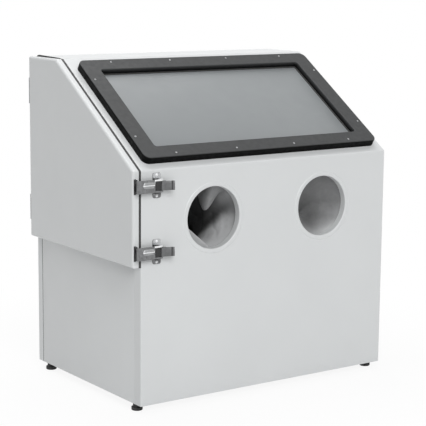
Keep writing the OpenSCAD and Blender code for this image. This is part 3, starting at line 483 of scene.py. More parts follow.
def meet(p, d, q, e):
    """Where the line through p along d meets the line through q along e."""
    return p + d * ((q - p).cross(e) / d.cross(e))


def inset(corners, distances):
    """A counter-clockwise outline with each edge moved inward by its own distance."""
    count = len(corners)
    along = [(corners[(i + 1) % count] - corners[i]).normalized() for i in range(count)]
    moved = [corners[i] + Vector((-along[i].y, along[i].x)) * distances[i] for i in range(count)]
    return [meet(moved[i - 1], along[i - 1], moved[i], along[i]) for i in range(count)]


def rounded_corner(before, corner, after, radius, steps=FOLD_STEPS):
    """Points of the arc that rounds a corner, or the corner over and over where there is no radius."""
    if radius <= 0:
        return [corner] * (steps + 1)
    u = (before - corner).normalized()
    v = (after - corner).normalized()
    half = u.angle(v) / 2
    centre = corner + (u + v).normalized() * radius / sin(half)
    start = corner + u * radius / tan(half) - centre
    swing = (pi - 2 * half) * (1 if u.cross(v) < 0 else -1)
    return [centre + start @ Matrix.Rotation(a, 2) for a in arc(-swing, steps)]


def rounded_outline(corners, radius, steps=FOLD_STEPS):
    count = len(corners)
    points = []
    for i in range(count):
        points += rounded_corner(corners[i - 1], corners[i], corners[(i + 1) % count], radius, steps)
    return points


def quarter(radius, steps=FOLD_STEPS):
    """Pairs of inset and rise for a quarter round, from its wall to its face."""
    return [(radius * (1 - cos(a)), radius * sin(a)) for a in arc(pi / 2, steps)]


def side_corners(low):
    """The cabinet's outline from the side: the starts of its bottom, rear, top, slope and front edges."""
    points = ((FRONT, low), (REAR, low), (REAR, TOP), (FRONT + SLOPE_RUN, TOP), (FRONT, BASE + FRONT_H))
    return [Vector(p) for p in points]


def folded(low, bend, crest, end, radius):
    """The line up the front and over the slope towards end, round at both folds."""
    return [low] + rounded_corner(low, bend, crest, radius) + rounded_corner(bend, crest, end, radius)


# Finishes

def shader_node(tree, kind, **inputs):
    """A new node of a tree, with each input linked to a socket or set to a value."""
    made = tree.nodes.new(kind)
    for name, value in inputs.items():
        socket = made.inputs[name.replace("_", " ")]
        if isinstance(value, bpy.types.NodeSocket):
            tree.links.new(value, socket)
        else:
            socket.default_value = value
    return made


def math_node(tree, operation, a, b):
    made = tree.nodes.new("ShaderNodeMath")
    made.operation = operation
    tree.links.new(a, made.inputs[0])
    tree.links.new(b, made.inputs[1])
    return made.outputs[0]


class Finish:
    """A principled material with detail from noise in the part's own coordinates."""

    def __init__(self, name, color, roughness, metallic=0.0):
        self.material = bpy.data.materials.new(name)
        self.material.use_nodes = True
        self.tree = self.material.node_tree
        self.shader = self.tree.nodes["Principled BSDF"]
        self.color = color
        self.constant(Base_Color=(*color, 1), Roughness=roughness, Metallic=metallic)
        self.place = self.node("ShaderNodeTexCoord").outputs["Object"]

    def node(self, kind, **inputs):
        return shader_node(self.tree, kind, **inputs)

    def constant(self, **values):
        for name, value in values.items():
            self.shader.inputs[name.replace("_", " ")].default_value = value
        return self

    def noise(self, scale, detail, stretch=EVEN):
        place = self.node("ShaderNodeMapping", Vector=self.place, Scale=stretch).outputs["Vector"]
        return self.node("ShaderNodeTexNoise", Vector=place, Scale=scale, Detail=detail).outputs["Fac"]

    def cells(self, scale):
        return self.node("ShaderNodeTexVoronoi", Vector=self.place, Scale=scale).outputs["Color"]

    def ranged(self, value, low, high, to_low, to_high):
        """A value from one range taken to another."""
        made = self.node("ShaderNodeMapRange", Value=value, From_Min=low, From_Max=high,
                         To_Min=to_low, To_Max=to_high)
        return made.outputs["Result"]

    def spread(self, value, low, high):
        """A noise value taken to a range."""
        return self.ranged(value, *NOISE_SPAN, low, high)

    def vary_color(self, value, dark, light):
        """Shades of the base colour, from dark to light times it."""
        mix = self.tree.nodes.new("ShaderNodeMix")
        mix.data_type = "RGBA"
        self.tree.links.new(self.spread(value, 0, 1), mix.inputs["Factor"])
        mix.inputs["A"].default_value = (*(c * dark for c in self.color), 1)
        mix.inputs["B"].default_value = (*(min(c * light, 1) for c in self.color), 1)
        self.tree.links.new(mix.outputs["Result"], self.shader.inputs["Base Color"])
        return self

    def fade_color(self, share):
        """The colour so far times a share."""
        socket = self.shader.inputs["Base Color"]
        made = self.tree.nodes.new("ShaderNodeVectorMath")
        made.operation = "SCALE"
        self.tree.links.new(socket.links[0].from_socket, made.inputs["Vector"])
        self.tree.links.new(share, made.inputs["Scale"])
        self.tree.links.new(made.outputs["Vector"], socket)
        return self

    def shade(self, scale, detail, dark, light):
        """Shades of the base colour, by a noise."""
        return self.vary_color(self.noise(scale, detail), dark, light)

    def gloss(self, scale, detail, least, most, stretch=EVEN):
        """Roughness from least to most, by a noise."""
        value = self.spread(self.noise(scale, detail, stretch), least, most)
        self.tree.links.new(value, self.shader.inputs["Roughness"])
        return self

    def relief(self, scale, detail, height, strength, stretch=EVEN):
        """Bumps of a height in millimetres, by a noise."""
        value = self.noise(scale, detail, stretch)
        bump = self.node("ShaderNodeBump", Height=value, Distance=height * MM, Strength=strength)
        self.tree.links.new(bump.outputs["Normal"], self.shader.inputs["Normal"])
        return self


def coat(name, color, roughness, metallic, shade, gloss, relief, **constants):
    """A finish varied by three noises, each given by what the method of its name takes."""
    made = Finish(name, color, roughness, metallic).constant(**constants)
    return made.shade(*shade).gloss(*gloss).relief(*relief).material


def black_rubber(name, tone):
    return coat(name, (tone, tone, tone), 0.7, 0,
                (70, 5, 0.8, 1.35), (160, 4, 0.6, 0.82), (800, 4, 0.08, 0.6))


def galvanised():
    """Zinc with a spangle of cells."""
    f = Finish("galvanised", (0.46, 0.47, 0.48), 0.45, 0.9)
    f.vary_color(f.cells(45), 0.8, 1.12)
    return f.gloss(70, 4, 0.36, 0.54).relief(400, 3, 0.04, 0.5).material


def glove_cloth():
    """Cloth paler where it faces up, partly dust and partly painted light, with painted shade towards the
    wrist and painted light and shade from the sleeve's tone attribute.
    """
    f = Finish("glove_cloth", (0.3, 0.304, 0.308), 0.8)
    f.constant(Sheen_Weight=0.15, Sheen_Roughness=0.5)
    facing = f.node("ShaderNodeNewGeometry").outputs["Normal"]
    rise = f.node("ShaderNodeSeparateXYZ", Vector=facing).outputs["Z"]
    deep = f.node("ShaderNodeSeparateXYZ", Vector=f.place).outputs["Y"]
    # Paler where the cloth faces up: partly dust, partly painted light
    dust = f.ranged(rise, *DUST_AND_PAINTED_LIGHT_SPAN, *NOISE_SPAN)
    grain = f.spread(f.noise(55, 6), -DUST_GRAIN, DUST_GRAIN)
    # Painted shade deeper in the sleeve, towards the wrist
    wrist = f.ranged(deep, FRONT + CLOTH_DEEP, FRONT + WRIST_DEEP, 1, WRIST_SHADE)
    # The tone attribute holds painted light and shade
    tone = f.node("ShaderNodeAttribute")
    tone.attribute_name = "tone"
    f.vary_color(math_node(f.tree, "ADD", dust, grain), 0.5, 1.2)
    f.fade_color(wrist).fade_color(tone.outputs["Fac"])
    return f.gloss(140, 4, 0.7, 0.9).relief(650, 4, 0.25, 0.6).material


PAINT = coat(
    "powder_coat", (0.66, 0.675, 0.68), 0.36, 0,
    (7, 5, 0.985, 1.01), (40, 4, 0.32, 0.42), (750, 2, 0.12, 0.35))
FRAME_FACE = coat(
    "frame_face", (0.034, 0.0355, 0.0365), 0.55, 0,
    (30, 5, 0.92, 1.06), (90, 4, 0.42, 0.58), (1600, 3, 0.08, 0.5),
    Specular_IOR_Level=0.35)
FRAME_WALL = coat(
    "frame_wall", (0.004, 0.0042, 0.0042), 0.6, 0,
    (60, 4, 0.8, 1.3), (120, 4, 0.5, 0.7), (900, 3, 0.1, 0.5),
    Specular_IOR_Level=0.06)
GLASS = coat(
    "window_glass", (0.268, 0.284, 0.292), 0.45, 0,
    (4, 4, 0.97, 1.03), (25, 6, 0.4, 0.52), (300, 2, 0.02, 0.2),
    Transmission_Weight=0.12, IOR=1.5)
ZINC = coat(
    "bright_zinc", (0.5, 0.51, 0.52), 0.3, 1, (120, 5, 0.86, 1.06),
    (500, 4, 0.2, 0.4, (1, 1, 0.1)), (900, 3, 0.03, 0.5, (1, 1, 0.08)))
# White for painted highlights: the latches' upper arms, the ribs' crests and the latch rivets
HIGHLIGHT_WHITE = coat(
    "painted_highlight_white", (0.85, 0.86, 0.87), 0.4, 0.1, (130, 5, 0.93, 1.05),
    (500, 4, 0.26, 0.44, (0.1, 1, 1)), (900, 3, 0.03, 0.5, (0.08, 1, 1)))
DULL = coat(
    "dull_zinc", (0.15, 0.153, 0.156), 0.5, 0.5, (150, 5, 0.88, 1.1),
    (500, 4, 0.32, 0.48, (0.1, 1, 1)), (900, 3, 0.03, 0.5, (0.08, 1, 1)))
WORN = coat(
    "worn_zinc", (0.2, 0.203, 0.207), 0.42, 0.7, (140, 5, 0.75, 1.2),
    (500, 4, 0.26, 0.44, (1, 1, 0.1)), (900, 3, 0.03, 0.5, (1, 1, 0.08)))
SCREW = coat(
    "screw_zinc", (0.34, 0.345, 0.35), 0.4, 0.9,
    (140, 5, 0.85, 1.15), (400, 4, 0.3, 0.48), (900, 3, 0.02, 0.5))
# Black for painted shade: the levers' hubs and grooves, the bases' cheeks, the keepers' edges and rivets
PAINTED_SHADE_BLACK = coat(
    "painted_shade_black", (0.016, 0.016, 0.017), 0.42, 0,
    (150, 5, 0.8, 1.3), (400, 4, 0.34, 0.52), (900, 3, 0.03, 0.5))
STEEL = coat(
    "turned_steel", (0.45, 0.455, 0.46), 0.3, 1,
    (200, 4, 0.85, 1.1), (300, 4, 0.24, 0.4), (1500, 2, 0.02, 0.5))
ALUMINIUM = coat(
    "cast_aluminium", (0.5, 0.52, 0.53), 0.42, 1,
    (60, 5, 0.88, 1.06), (150, 4, 0.36, 0.55), (700, 4, 0.1, 0.6))
BRASS = coat(
    "turned_brass", (0.62, 0.48, 0.22), 0.3, 1,
    (110, 5, 0.85, 1.06), (260, 4, 0.24, 0.42), (1500, 2, 0.02, 0.5))
CERAMIC = coat(
    "fired_ceramic", (0.8, 0.78, 0.73), 0.3, 0,
    (90, 5, 0.93, 1.04), (200, 3, 0.25, 0.42), (1200, 3, 0.03, 0.5))
DIFFUSER = coat(
    "lamp_diffuser", (0.86, 0.85, 0.8), 0.35, 0, (20, 4, 0.97, 1.02),
    (80, 3, 0.3, 0.42), (500, 1, 0.2, 0.6, (0.02, 1, 1)))
PLASTIC = coat(
    "black_plastic", (0.028, 0.028, 0.03), 0.5, 0,
    (80, 4, 0.85, 1.2), (200, 4, 0.42, 0.6), (1400, 3, 0.05, 0.6))
BLUE = coat(
    "blue_rubber", (0.03, 0.06, 0.2), 0.5, 0,
    (80, 5, 0.85, 1.15), (160, 4, 0.42, 0.6), (900, 3, 0.06, 0.6))
GLOVE = coat(
    "glove_rubber", (0.03, 0.0305, 0.031), 0.66, 0,
    (45, 5, 0.85, 1.12), (120, 4, 0.52, 0.72), (500, 4, 0.15, 0.6))
RUBBER = black_rubber("black_rubber", 0.02)
SEAL = black_rubber("seal_rubber", 0.045)
GALVANISED = galvanised()
CLOTH = glove_cloth()


# Sheet metal

def front_shell(finish):
    """Front, slope and top in one folded sheet with its side flanges, holed for the arms and the window."""
    columns = [(LEFT, FLANGE_W)]
    columns += [(LEFT + d, SIDE_FOLD_R - r) for d, r in quarter(SIDE_FOLD_R)]
    columns += [(RIGHT - (x - LEFT), d) for x, d in reversed(columns)]

    def row_of(x, depth):
        low, _, _, crest, bend = inset(side_corners(BASE), (0, 0, depth, depth, depth))
        end = Vector((REAR, TOP - depth))
        points = folded(low, bend, crest, end, FOLD_R - depth)
        return at_x(x, points + [Vector((REAR - REAR_FLANGE_W, TOP - depth)), end])

    rows = [row_of(x, d) for x, d in columns]
    last = len(rows[0]) - 2
    flanges = (0, len(columns) - 2)
    bm = bmesh.new()
    loft(bm, rows, closed=False, skip=lambda row, column: row in flanges and column == last)
    welded(bm, SHEET_WELD)
    shell = from_bmesh("front_shell_finish", bm)
    if shell.data.polygons[0].normal.x > 0:
        shell.data.flip_normals()
    thickened(shell, SHEET).use_even_offset = True
    holed(shell, [arm_cutter("arm_ring_left"), arm_cutter("arm_ring_right"), window_cutter()])
    return dressed(evened(shell), "cabinet", "paint", finish, "front_shell")


def arm_centre(node):
    """The middle of an arm hole, on the front."""
    middle = middle_of(node)
    return Vector((middle.x, FRONT, middle.z))


def arm_cutter(node):
    radius = ARM_R + COLLAR_T
    profile = [(radius, -CUT_REACH), (radius, CUT_REACH)]
    return tube(node + "_cutter", lathe(profile, arm_centre(node), CUTTER_STEPS), smooth=False)


def window_cutter():
    bm = bmesh.new()
    hole = Matrix.Diagonal((SIGHT_W + CUT_PLAY, SIGHT_H + CUT_PLAY, 2 * CUT_REACH, 1))
    bmesh.ops.create_cube(bm, size=1, matrix=AT_WINDOW @ hole)
    return from_bmesh("window_cutter", bm, smooth=False)


def door_pan(finish):
    """The door's outer skin, folded over on every side."""
    outer, inner = DOOR_LOW.x, DOOR_HIGH.x

    def loop(x, depth):
        corners = inset(side_corners(DOOR_LOW.z), [depth] * 5)
        return at_x(x, rounded_outline(corners, max(DOOR_CORNER_R - depth, DOOR_LEAST_R)))

    loops = [loop(outer + SHEET, DOOR_FOLD_R + SHEET)]
    loops += [loop(inner - HEM_R + rise, depth) for depth, rise in reversed(quarter(HEM_R))]
    loops += [loop(outer + DOOR_FOLD_R - rise, depth) for depth, rise in quarter(DOOR_FOLD_R)]
    return dressed(evened(tube("door_pan_finish", loops)), "door", "paint", finish, "door_pan")


def door_lip(finish):
    """The seal's lip, standing out of the gap along the top of the door."""
    inner, outer = DOOR_HIGH.x + LIP_PLAY, LEFT - LIP_PLAY
    front, back = FRONT + SLOPE_RUN, REAR - REAR_FLANGE_W / 2
    waist = (outer - inner) / 4
    low = TOP - LIP_FOOT
    loops = []
    for f in arc(1, MANY_STEPS):
        y = front + (back - front) * f
        tall = LIP_FRONT_H + (LIP_H - LIP_FRONT_H) * f
        high = TOP + tall * min(1, LIP_FRONT_RAMP * f, LIP_REAR_RAMP * (1 - f))
        neck = (low + high) / 2
        section = [(inner, low), (outer, low), (outer - waist, neck), (outer - waist, high),
                   (inner + waist, high), (inner + waist, neck)]
        loops.append([Vector((x, y, z)) for x, z in section])
    return dressed(evened(tube("door_seal_lip", loops)), "door", "black_rubber", finish)


def gap_seal(finish):
    """The seal in the gap in front of the door, up the front and the slope, just under their faces."""
    low, _, end, crest, bend = side_corners(DOOR_LOW.z)
    path = folded(low, bend, crest, end, FOLD_R)
    inner, outer = DOOR_HIGH.x + LIP_PLAY, LEFT - LIP_PLAY
    section = [(inner, LIP_FOOT), (outer, LIP_FOOT), (outer, GAP_SHOULDER), (outer + GAP_OVER, GAP_SINK),
               (inner, GAP_SINK)]
    loops = []
    for p, along in zip(path, headings(path)):
        inward = Vector((along.y, -along.x))
        places = [(x, p + inward * depth) for x, depth in section]
        loops.append([Vector((x, q.x, q.y)) for x, q in places])
    return dressed(tube("door_gap_seal", loops, smooth=False), "door", "black_rubber", finish)


def rear_seam(name, x, out, top, finish):
    """A bead of sealant in the seam before the rear panel's flange on one side, from the base to top."""
    middle = REAR - REAR_FLANGE_W - SEAM_W / 2
    turn = circle(FEW_STEPS)
    ring = [(SEAM_RISE * cos(a) - SEAM_SINK * out, SEAM_W / 2 * sin(a)) for a in turn]
    loops = [[Vector((x + dx, middle + dy, z)) for dx, dy in ring] for z in (BASE, top)]
    return dressed(evened(tube(name, loops)), "cabinet", "black_rubber", finish)


# Window

SLOPE_A = atan2(TOP - BASE - FRONT_H, SLOPE_RUN)
SLOPE_LEN = hypot(TOP - BASE - FRONT_H, SLOPE_RUN)
FRAME_W = RIGHT - LEFT - 2 * FRAME_SIDE_GAP
FRAME_H = SLOPE_LEN - FRAME_LOW_GAP - FRAME_TOP_GAP
SIGHT_W = FRAME_W - 2 * FRAME_SIDE_W
SIGHT_H = FRAME_H - 2 * FRAME_RAIL_W
AT_WINDOW = (
    Matrix.Translation(((LEFT + RIGHT) / 2, FRONT, BASE + FRONT_H))
    @ Matrix.Rotation(SLOPE_A, 4, "X")
    @ Matrix.Translation((0, FRAME_LOW_GAP + FRAME_H / 2, 0))
)


def rectangle(width, height, radius, rise):
    """A rounded rectangle on the slope, at a height above it."""
    x, y = width / 2, height / 2
    corners = [Vector(p) for p in ((-x, -y), (x, -y), (x, y), (-x, y))]
    return [AT_WINDOW @ Vector((p.x, p.y, rise)) for p in rounded_outline(corners, radius, FEW_STEPS)]


def window_frame(face, wall):
    """A thick frame, grey on its face and round its sight, with black outer walls."""
    edge = quarter(FRAME_EDGE_R, steps=4)
    foot = FRAME_T - FRAME_EDGE_R
    loops = [rectangle(FRAME_W, FRAME_H, FRAME_R, 0)]
    for depth, rise in edge:
        loops.append(rectangle(FRAME_W - 2 * depth, FRAME_H - 2 * depth, FRAME_R - depth, foot + rise))
    for depth, rise in reversed(edge):
        loops.append(rectangle(SIGHT_W + 2 * depth, SIGHT_H + 2 * depth, SIGHT_R + depth, foot + rise))
    loops.append(rectangle(SIGHT_W, SIGHT_H, SIGHT_R, GLASS_TOP))
    piece = loop_of("window_frame_finish", loops, SHEET_WELD)
    dressed(evened(piece), "cabinet", "window_frame", (face, wall), "window_frame")
    level = AT_WINDOW.inverted()
    out = AT_WINDOW.to_3x3() @ Vector((0, 0, 1))

    def outer_wall(polygon):
        at = level @ polygon.center
        inside = max(abs(at.x) - SIGHT_W / 2, abs(at.y) - SIGHT_H / 2) < FRAME_EDGE_R
        return polygon.normal.dot(out) < FACING and not inside

    return painted(piece, outer_wall)


def window_bead(finish):
    """A rubber bead on the glass, all round inside the frame."""
    loops = []
    for a in arc(pi, FEW_STEPS):
        depth = BEAD_W * (1 - cos(a)) / 2 - BEAD_TUCK
        at = GLASS_TOP - BEAD_TUCK + BEAD_H * sin(a)
        loops.append(rectangle(SIGHT_W - 2 * depth, SIGHT_H - 2 * depth, SIGHT_R - depth, at))
    return dressed(loop_of("window_bead", loops, FINE_WELD), "cabinet", "black_rubber", finish)


def screw_places():
    """Where the frame's screws stand, on its face."""
    span = FRAME_W - 2 * SCREW_ROW_END
    for k in range(SCREW_COUNT):
        for y in (-1, 1):
            yield span * (k / (SCREW_COUNT - 1) - 0.5), y * (FRAME_H / 2 - SCREW_EDGE)
    for x in (-1, 1):
        for y in (-1, 1):
            yield x * (FRAME_W / 2 - SCREW_EDGE), y * (FRAME_H / 2 - SCREW_SIDE_END)


def screw_head(x, y):
    """Loops of a domed head with a cross recess, from the middle of its foot to its top."""
    loops = [[AT_WINDOW @ Vector((x, y, FRAME_T))] * SCREW_STEPS]
    for up in arc(pi / 2, SCREW_RINGS):
        radius = SCREW_R * cos(up)
        loop = []
        for a in circle(SCREW_STEPS):
            px, py = radius * cos(a), radius * sin(a)
            near, far = sorted((abs(px), abs(py)))
            recess = near < RECESS_W * SCREW_R and far < RECESS_L * SCREW_R
            rise = SCREW_H * sin(up) - recess * RECESS_DEEP * SCREW_H
            loop.append(AT_WINDOW @ Vector((x + px, y + py, FRAME_T + rise)))
        loops.append(loop)
    return loops


def window_screws(finish):
    """Domed heads on the frame, and the screws and their nuts inside."""
    bm = bmesh.new()
    for x, y in screw_places():
        rows = loft(bm, screw_head(x, y))
        bm.faces.new(rows[-1])
    welded(bm, FINE_WELD)
    dressed(from_bmesh("window_screw_heads", bm), "cabinet", "bright_steel", finish)
    return softened("window_screws", finish, SCREW_EDGE_R, headless)


def headless(bm):
    """Takes the plain heads off the screws, down to the frame's face."""
    level = AT_WINDOW.inverted()
    above = [v for v in bm.verts if (level @ v.co).z > FRAME_T - SCREW_CUT]
    bmesh.ops.delete(bm, geom=above, context="VERTS")


# Latches

def parted(bm, *places, along=Vector((1, 0, 0))):
    """Cuts new edges into a shape, across it at each place along an axis."""
    for place in places:
        everything = bm.verts[:] + bm.edges[:] + bm.faces[:]
        bmesh.ops.bisect_plane(bm, geom=everything, plane_co=along * place, plane_no=along)
    bm.normal_update()


def lever(node, grip, hub):
    """A latch lever with painted shade in black on the hub round its pivot and in the groove across its
    finger end.
    """
    low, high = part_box(node)
    start, stop = high.x - GROOVE_FROM, high.x - GROOVE_TO
    hub_end = low.x + HUB_SHARE * (high.x - low.x)

    def groove(bm):
        parted(bm, start, stop)
        cut = [f for f in bm.faces if f.normal.y < -FACING and start < f.calc_center_median().x < stop]
        sunk = bmesh.ops.extrude_face_region(bm, geom=cut)["geom"]
        verts = [v for v in sunk if isinstance(v, bmesh.types.BMVert)]
        bmesh.ops.translate(bm, verts=verts, vec=(0, GROOVE_DEEP, 0))

    piece = softened(node, (grip, hub), LEVER_EDGE_R, groove)
    painted(piece, lambda p: p.center.x < hub_end or start < p.center.x < stop)
    lever_shade_block(node, hub)
    return piece


def lever_shade_block(node, finish):
    """A black block between a lever's webs, from its pivot towards its plate, standing in for the shade
    there.
    """
    pivot = middle_of("latch_pivots")
    middle = middle_of(node).z
    turn = [pi / 2 + a for a in arc(pi, SOME_STEPS)]
    outline = [(SHADE_BLOCK_R * cos(a), SHADE_BLOCK_R * sin(a)) for a in turn]
    outline += [(SHADE_BLOCK_L, -SHADE_BLOCK_R), (SHADE_BLOCK_L, SHADE_BLOCK_R / 3)]
    loops = []
    for z in (middle - SHADE_BLOCK_H / 2, middle + SHADE_BLOCK_H / 2):
        loops.append([Vector((pivot.x + x, pivot.y + y, z)) for x, y in outline])
    shade_block = tube(node + "_cam", loops)
    bevelled(shade_block, SHADE_BLOCK_EDGE_R)
    return dressed(shade_block, nodes[node]["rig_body"], "black_plastic", finish)


def latch_base(node, plate, cheek_shade, painted_highlight):
    """A latch's base plate, whose upper tab has a painted highlight on its front face, and whose cheeks are
    painted shade in black, with painted highlights on their upper faces.
    """
    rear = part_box(node)[1].y
    tab = middle_of(node).z + TAB_FROM

    def number(polygon):
        outward = polygon.center.y < rear - PLATE_T
        if outward:
            bright = polygon.normal.z > SQUARE
        else:
            bright = polygon.normal.y < -SQUARE and polygon.center.z > tab
        return 2 if bright else outward

    upright = Vector((0, 0, 1))
    piece = softened(node, (plate, cheek_shade, painted_highlight), PLATE_EDGE_R, lambda bm: parted(bm, tab, along=upright))
    return painted(piece, number)


def hook(node, strap, painted_highlight):
    """A draw hook, with a painted highlight on the upper of the arms that step over the lever's pivot."""
    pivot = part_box("latch_pivots")[0].x - HOOK_STEP / 2
    upper = middle_of(node).z + HOOK_UP
    piece = softened(node, (strap, painted_highlight), PLATE_EDGE_R, lambda bm: parted(bm, pivot))
    return painted(piece, lambda p: p.center.z > upper and p.center.x > pivot)


def keeper(node, edge, plate):
    """A keeper with painted shade in black along its edge, the rest painted over with the door."""
    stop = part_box(node)[0].x + KEEPER_EDGE
    piece = softened(node, (edge, plate), PLATE_EDGE_R, lambda bm: parted(bm, stop))
    return painted(piece, lambda p: p.center.x > stop)


def hook_rib(node, finish, crest):
    """The rib that stiffens a hook's strap, with a painted highlight along its crest."""
    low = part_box(node)[0]
    middle = middle_of(node).z + RIB_UP
    base = low.y + RIB_STRAP + RIB_SINK
    turn = arc(pi, MANY_STEPS)
    loops = []
    for f in arc(1, MANY_STEPS):
        swell = max(1 - abs(2 * f - 1) ** RIB_BLUNT, RIB_END) ** 0.5
        section = [(RIB_RISE * swell * sin(a), RIB_W / 2 * swell * cos(a)) for a in turn]
        x = low.x + RIB_FROM + RIB_L * f
        loops.append([Vector((x, base - rise, middle - across)) for rise, across in section])
    rib = tube(node + "_rib", loops)
    dressed(rib, nodes[node]["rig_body"], "bright_steel", (finish, crest))
    # The crest's white is a painted highlight
    return painted(rib, lambda p: abs(p.center.z - middle) < RIB_CREST / 2)


# Arm holes and gloves

def arm_ring(node, finish):
    """A low rim that swells out of the front panel, runs flat and rolls into a straight collar."""
    profile = []
    for f in arc(1, SOME_STEPS):
        rise = RIM_RISE * (1 - cos(pi * f)) / 2
        profile.append((ARM_R + RIM_W - RIM_SWELL * f, rise - RIM_TUCK * (1 - f)))
    for a in arc(pi / 2, SOME_STEPS):
        profile.append((ARM_R + RIM_ROLL * (1 - sin(a)), RIM_RISE - RIM_ROLL * (1 - cos(a))))
    end = COLLAR_T / 2
    for a in arc(pi, SOME_STEPS // 2):
        profile.append((ARM_R + end - end * cos(a), end - COLLAR_L - end * sin(a)))
    profile.append((ARM_R + COLLAR_T, -SHEET / 2))
    piece = loop_of(node + "_finish", lathe(profile, arm_centre(node), ARM_STEPS), FINE_WELD)
    return dressed(evened(piece), "cabinet", "paint", finish, node)


def between(keys, t):
    """A smooth value through evenly spaced keys, at t from 0 to 1."""
    at = t * (len(keys) - 1)
    i = min(int(at), len(keys) - 2)
    f = at - i
    a, b, c, d = (Vector(keys[max(0, min(len(keys) - 1, i + n))]) for n in (-1, 0, 1, 2))
    square = 2 * a - 5 * b + 4 * c - d
    cube = 3 * b - a - 3 * c + d
    return 0.5 * (2 * b + (c - a) * f + square * f * f + cube * f ** 3)


def bell(x, middle, width):
    return exp(-((x - middle) / width) ** 2)


def smooth(x, low, high):
    """From nought to one as x goes from low to high, eased at both ends."""
    f = min(1, max(0, (x - low) / (high - low)))
    return f * f * (3 - 2 * f)


def turned(a):
    """An angle brought to within half a turn of nought."""
    return (a + pi) % tau - pi


def curtain(x, t, start, tip, end, place, length, fall):
    """How far a fold that hangs from the top of a sleeve comes down: at once past start, most at tip."""
    across = smooth(x, start, tip) * (1 - smooth(x, tip, end))
    return fall * across * bell(t, place, length)


def chord(turn, half):
    """How far in the straight line between two points of a circle lies, as a share of its radius."""
    if abs(turn) > half:
        return 0
    return 1 - cos(half) / cos(turn)


def left_painted_light(a, way, x, z):
    """Painted light and shade for the left sleeve: painted shade in the crease that runs inward under its
    fold and beside the fold, and painted light above, below the crease, beside it and on the bed.
    """
    turn = degrees(turned(a))
    middle = CREASE_AT - CREASE_TURN * way / MM
    width = CREASE_W + CREASE_GROW * way / MM
    crease = CREASE_PAINTED_SHADE * bell(turn, middle, width) * smooth(way, 0, CREASE_DEEP)
    start = LEFT_FOLD[0]
    flank = FLANK_PAINTED_SHADE * smooth(z, 0, FLANK_H) * (1 - smooth(x, start - FLANK_EDGE, start))
    flank *= 1 - smooth(z, *FLANK_TOP)
    above = LEFT_PAINTED_LIGHT_UP * smooth(z, -FLANK_H, FLANK_H)
    below = BELOW_PAINTED_LIGHT * bell(turn, middle - PALE_BELOW, PALE_W)
    beside = BESIDE_PAINTED_LIGHT * bell(turn, PALE_AT, PALE_UP_W)
    beside *= 1 - smooth(way, *PALE_DEEP)
    bed = BED_PAINTED_LIGHT * smooth(-z, *BED_LOW) * smooth(way, *BED_DEEP)
    return (LEFT_PAINTED_TONE + above) * (1 + below + beside + bed) * (1 - crease) * (1 - flank)


def right_painted_light(a, way, x, z):
    """Painted light and shade for the right sleeve: painted shade about the point where it is drawn
    together, and painted light low down.
    """
    reach = hypot(x - PINCH_X, z - PINCH_Z)
    low = RIGHT_PAINTED_LIGHT_LOW * smooth(-z, PINCH_R / 2, 1.5 * PINCH_R)
    return (RIGHT_PAINTED_TONE + low) * (1 - PINCH_PAINTED_SHADE * bell(reach, 0, PINCH_R))


def sleeve_share(side, t, a, lobes):
    """How far out a sleeve stands at t along it and a round it, as a share of its ring."""
    ring = Vector((cos(a), sin(a), 0))
    loose = SLACK
    for pitch, seed_x, seed_y, along, depth in WRINKLES:
        loose += depth * abs(noise.noise(ring * pitch + Vector((side * seed_x, seed_y, t * along))))
    share = 1 - smooth(t, *SLACK_IN) * smooth(1 - t, 0, SLACK_END) * loose
    for at, half, place, length in lobes:
        share -= chord(turned(a - radians(at)), radians(half)) * bell(t, place, length)
    return share


def sleeve_point(ring, share, t, a, curtains, pinches):
    """Where a sleeve's cloth is at t along it and a round it, from the middle of its arm hole."""
    way, drop, tilt, wide, high = ring
    tilt = radians(tilt)
    x = wide * share * cos(a)
    up = high * share * sin(a)
    hang = sum(curtain(x, t, *fold) for fold in curtains) * smooth(sin(a), 0, HANG_FROM)
    y = way + up * sin(tilt)
    z = up * cos(tilt) - drop - hang
    for to_x, to_z, place, length, depth in pinches:
        drawn = depth * bell(t, place, length)
        x += (to_x - x) * drawn
        y += (between(GLOVE_RINGS, place)[0] - y) * drawn * PINCH_FLAT
        z += (to_z - z) * drawn
    return x, y, z


def sleeve(side, node, finishes, tone, curtains=(), lobes=(), pinches=()):
    """A cloth sleeve from the collar to a rubber wrist: curtains hang in it, lobes stretch across it,
    pinches draw it together, and tone gives its cloth painted light and shade."""
    centre = arm_centre(node.replace("glove", "arm_ring"))
    loops, painted_light_values = [], []
    for t in arc(1, SLEEVE_ROWS):
        ring = between(GLOVE_RINGS, t)
        loop = []
        for a in circle(SLEEVE_STEPS):
            share = sleeve_share(side, t, a, lobes)
            x, y, z = sleeve_point(ring, share, t, a, curtains, pinches)
            loop.append(centre + Vector((x, y, z)))
            painted_light_values.append(tone(a, ring[0], x, z))
        loops.append(loop)
    bm = bmesh.new()
    # The tone attribute carries painted light and shade for the cloth
    layer = bm.verts.layers.float.new("tone")
    rows = loft(bm, loops)
    for vert, value in zip(sum(rows, []), painted_light_values):
        vert[layer] = value
    piece = from_bmesh(node + "_sleeve", bm)
    thickened(piece, SLEEVE_WALL)
    dressed(applied(piece), "cabinet", "glove_rubber", finishes, node)
    return painted(piece, lambda p: p.center.y - FRONT > WRIST_DEEP)


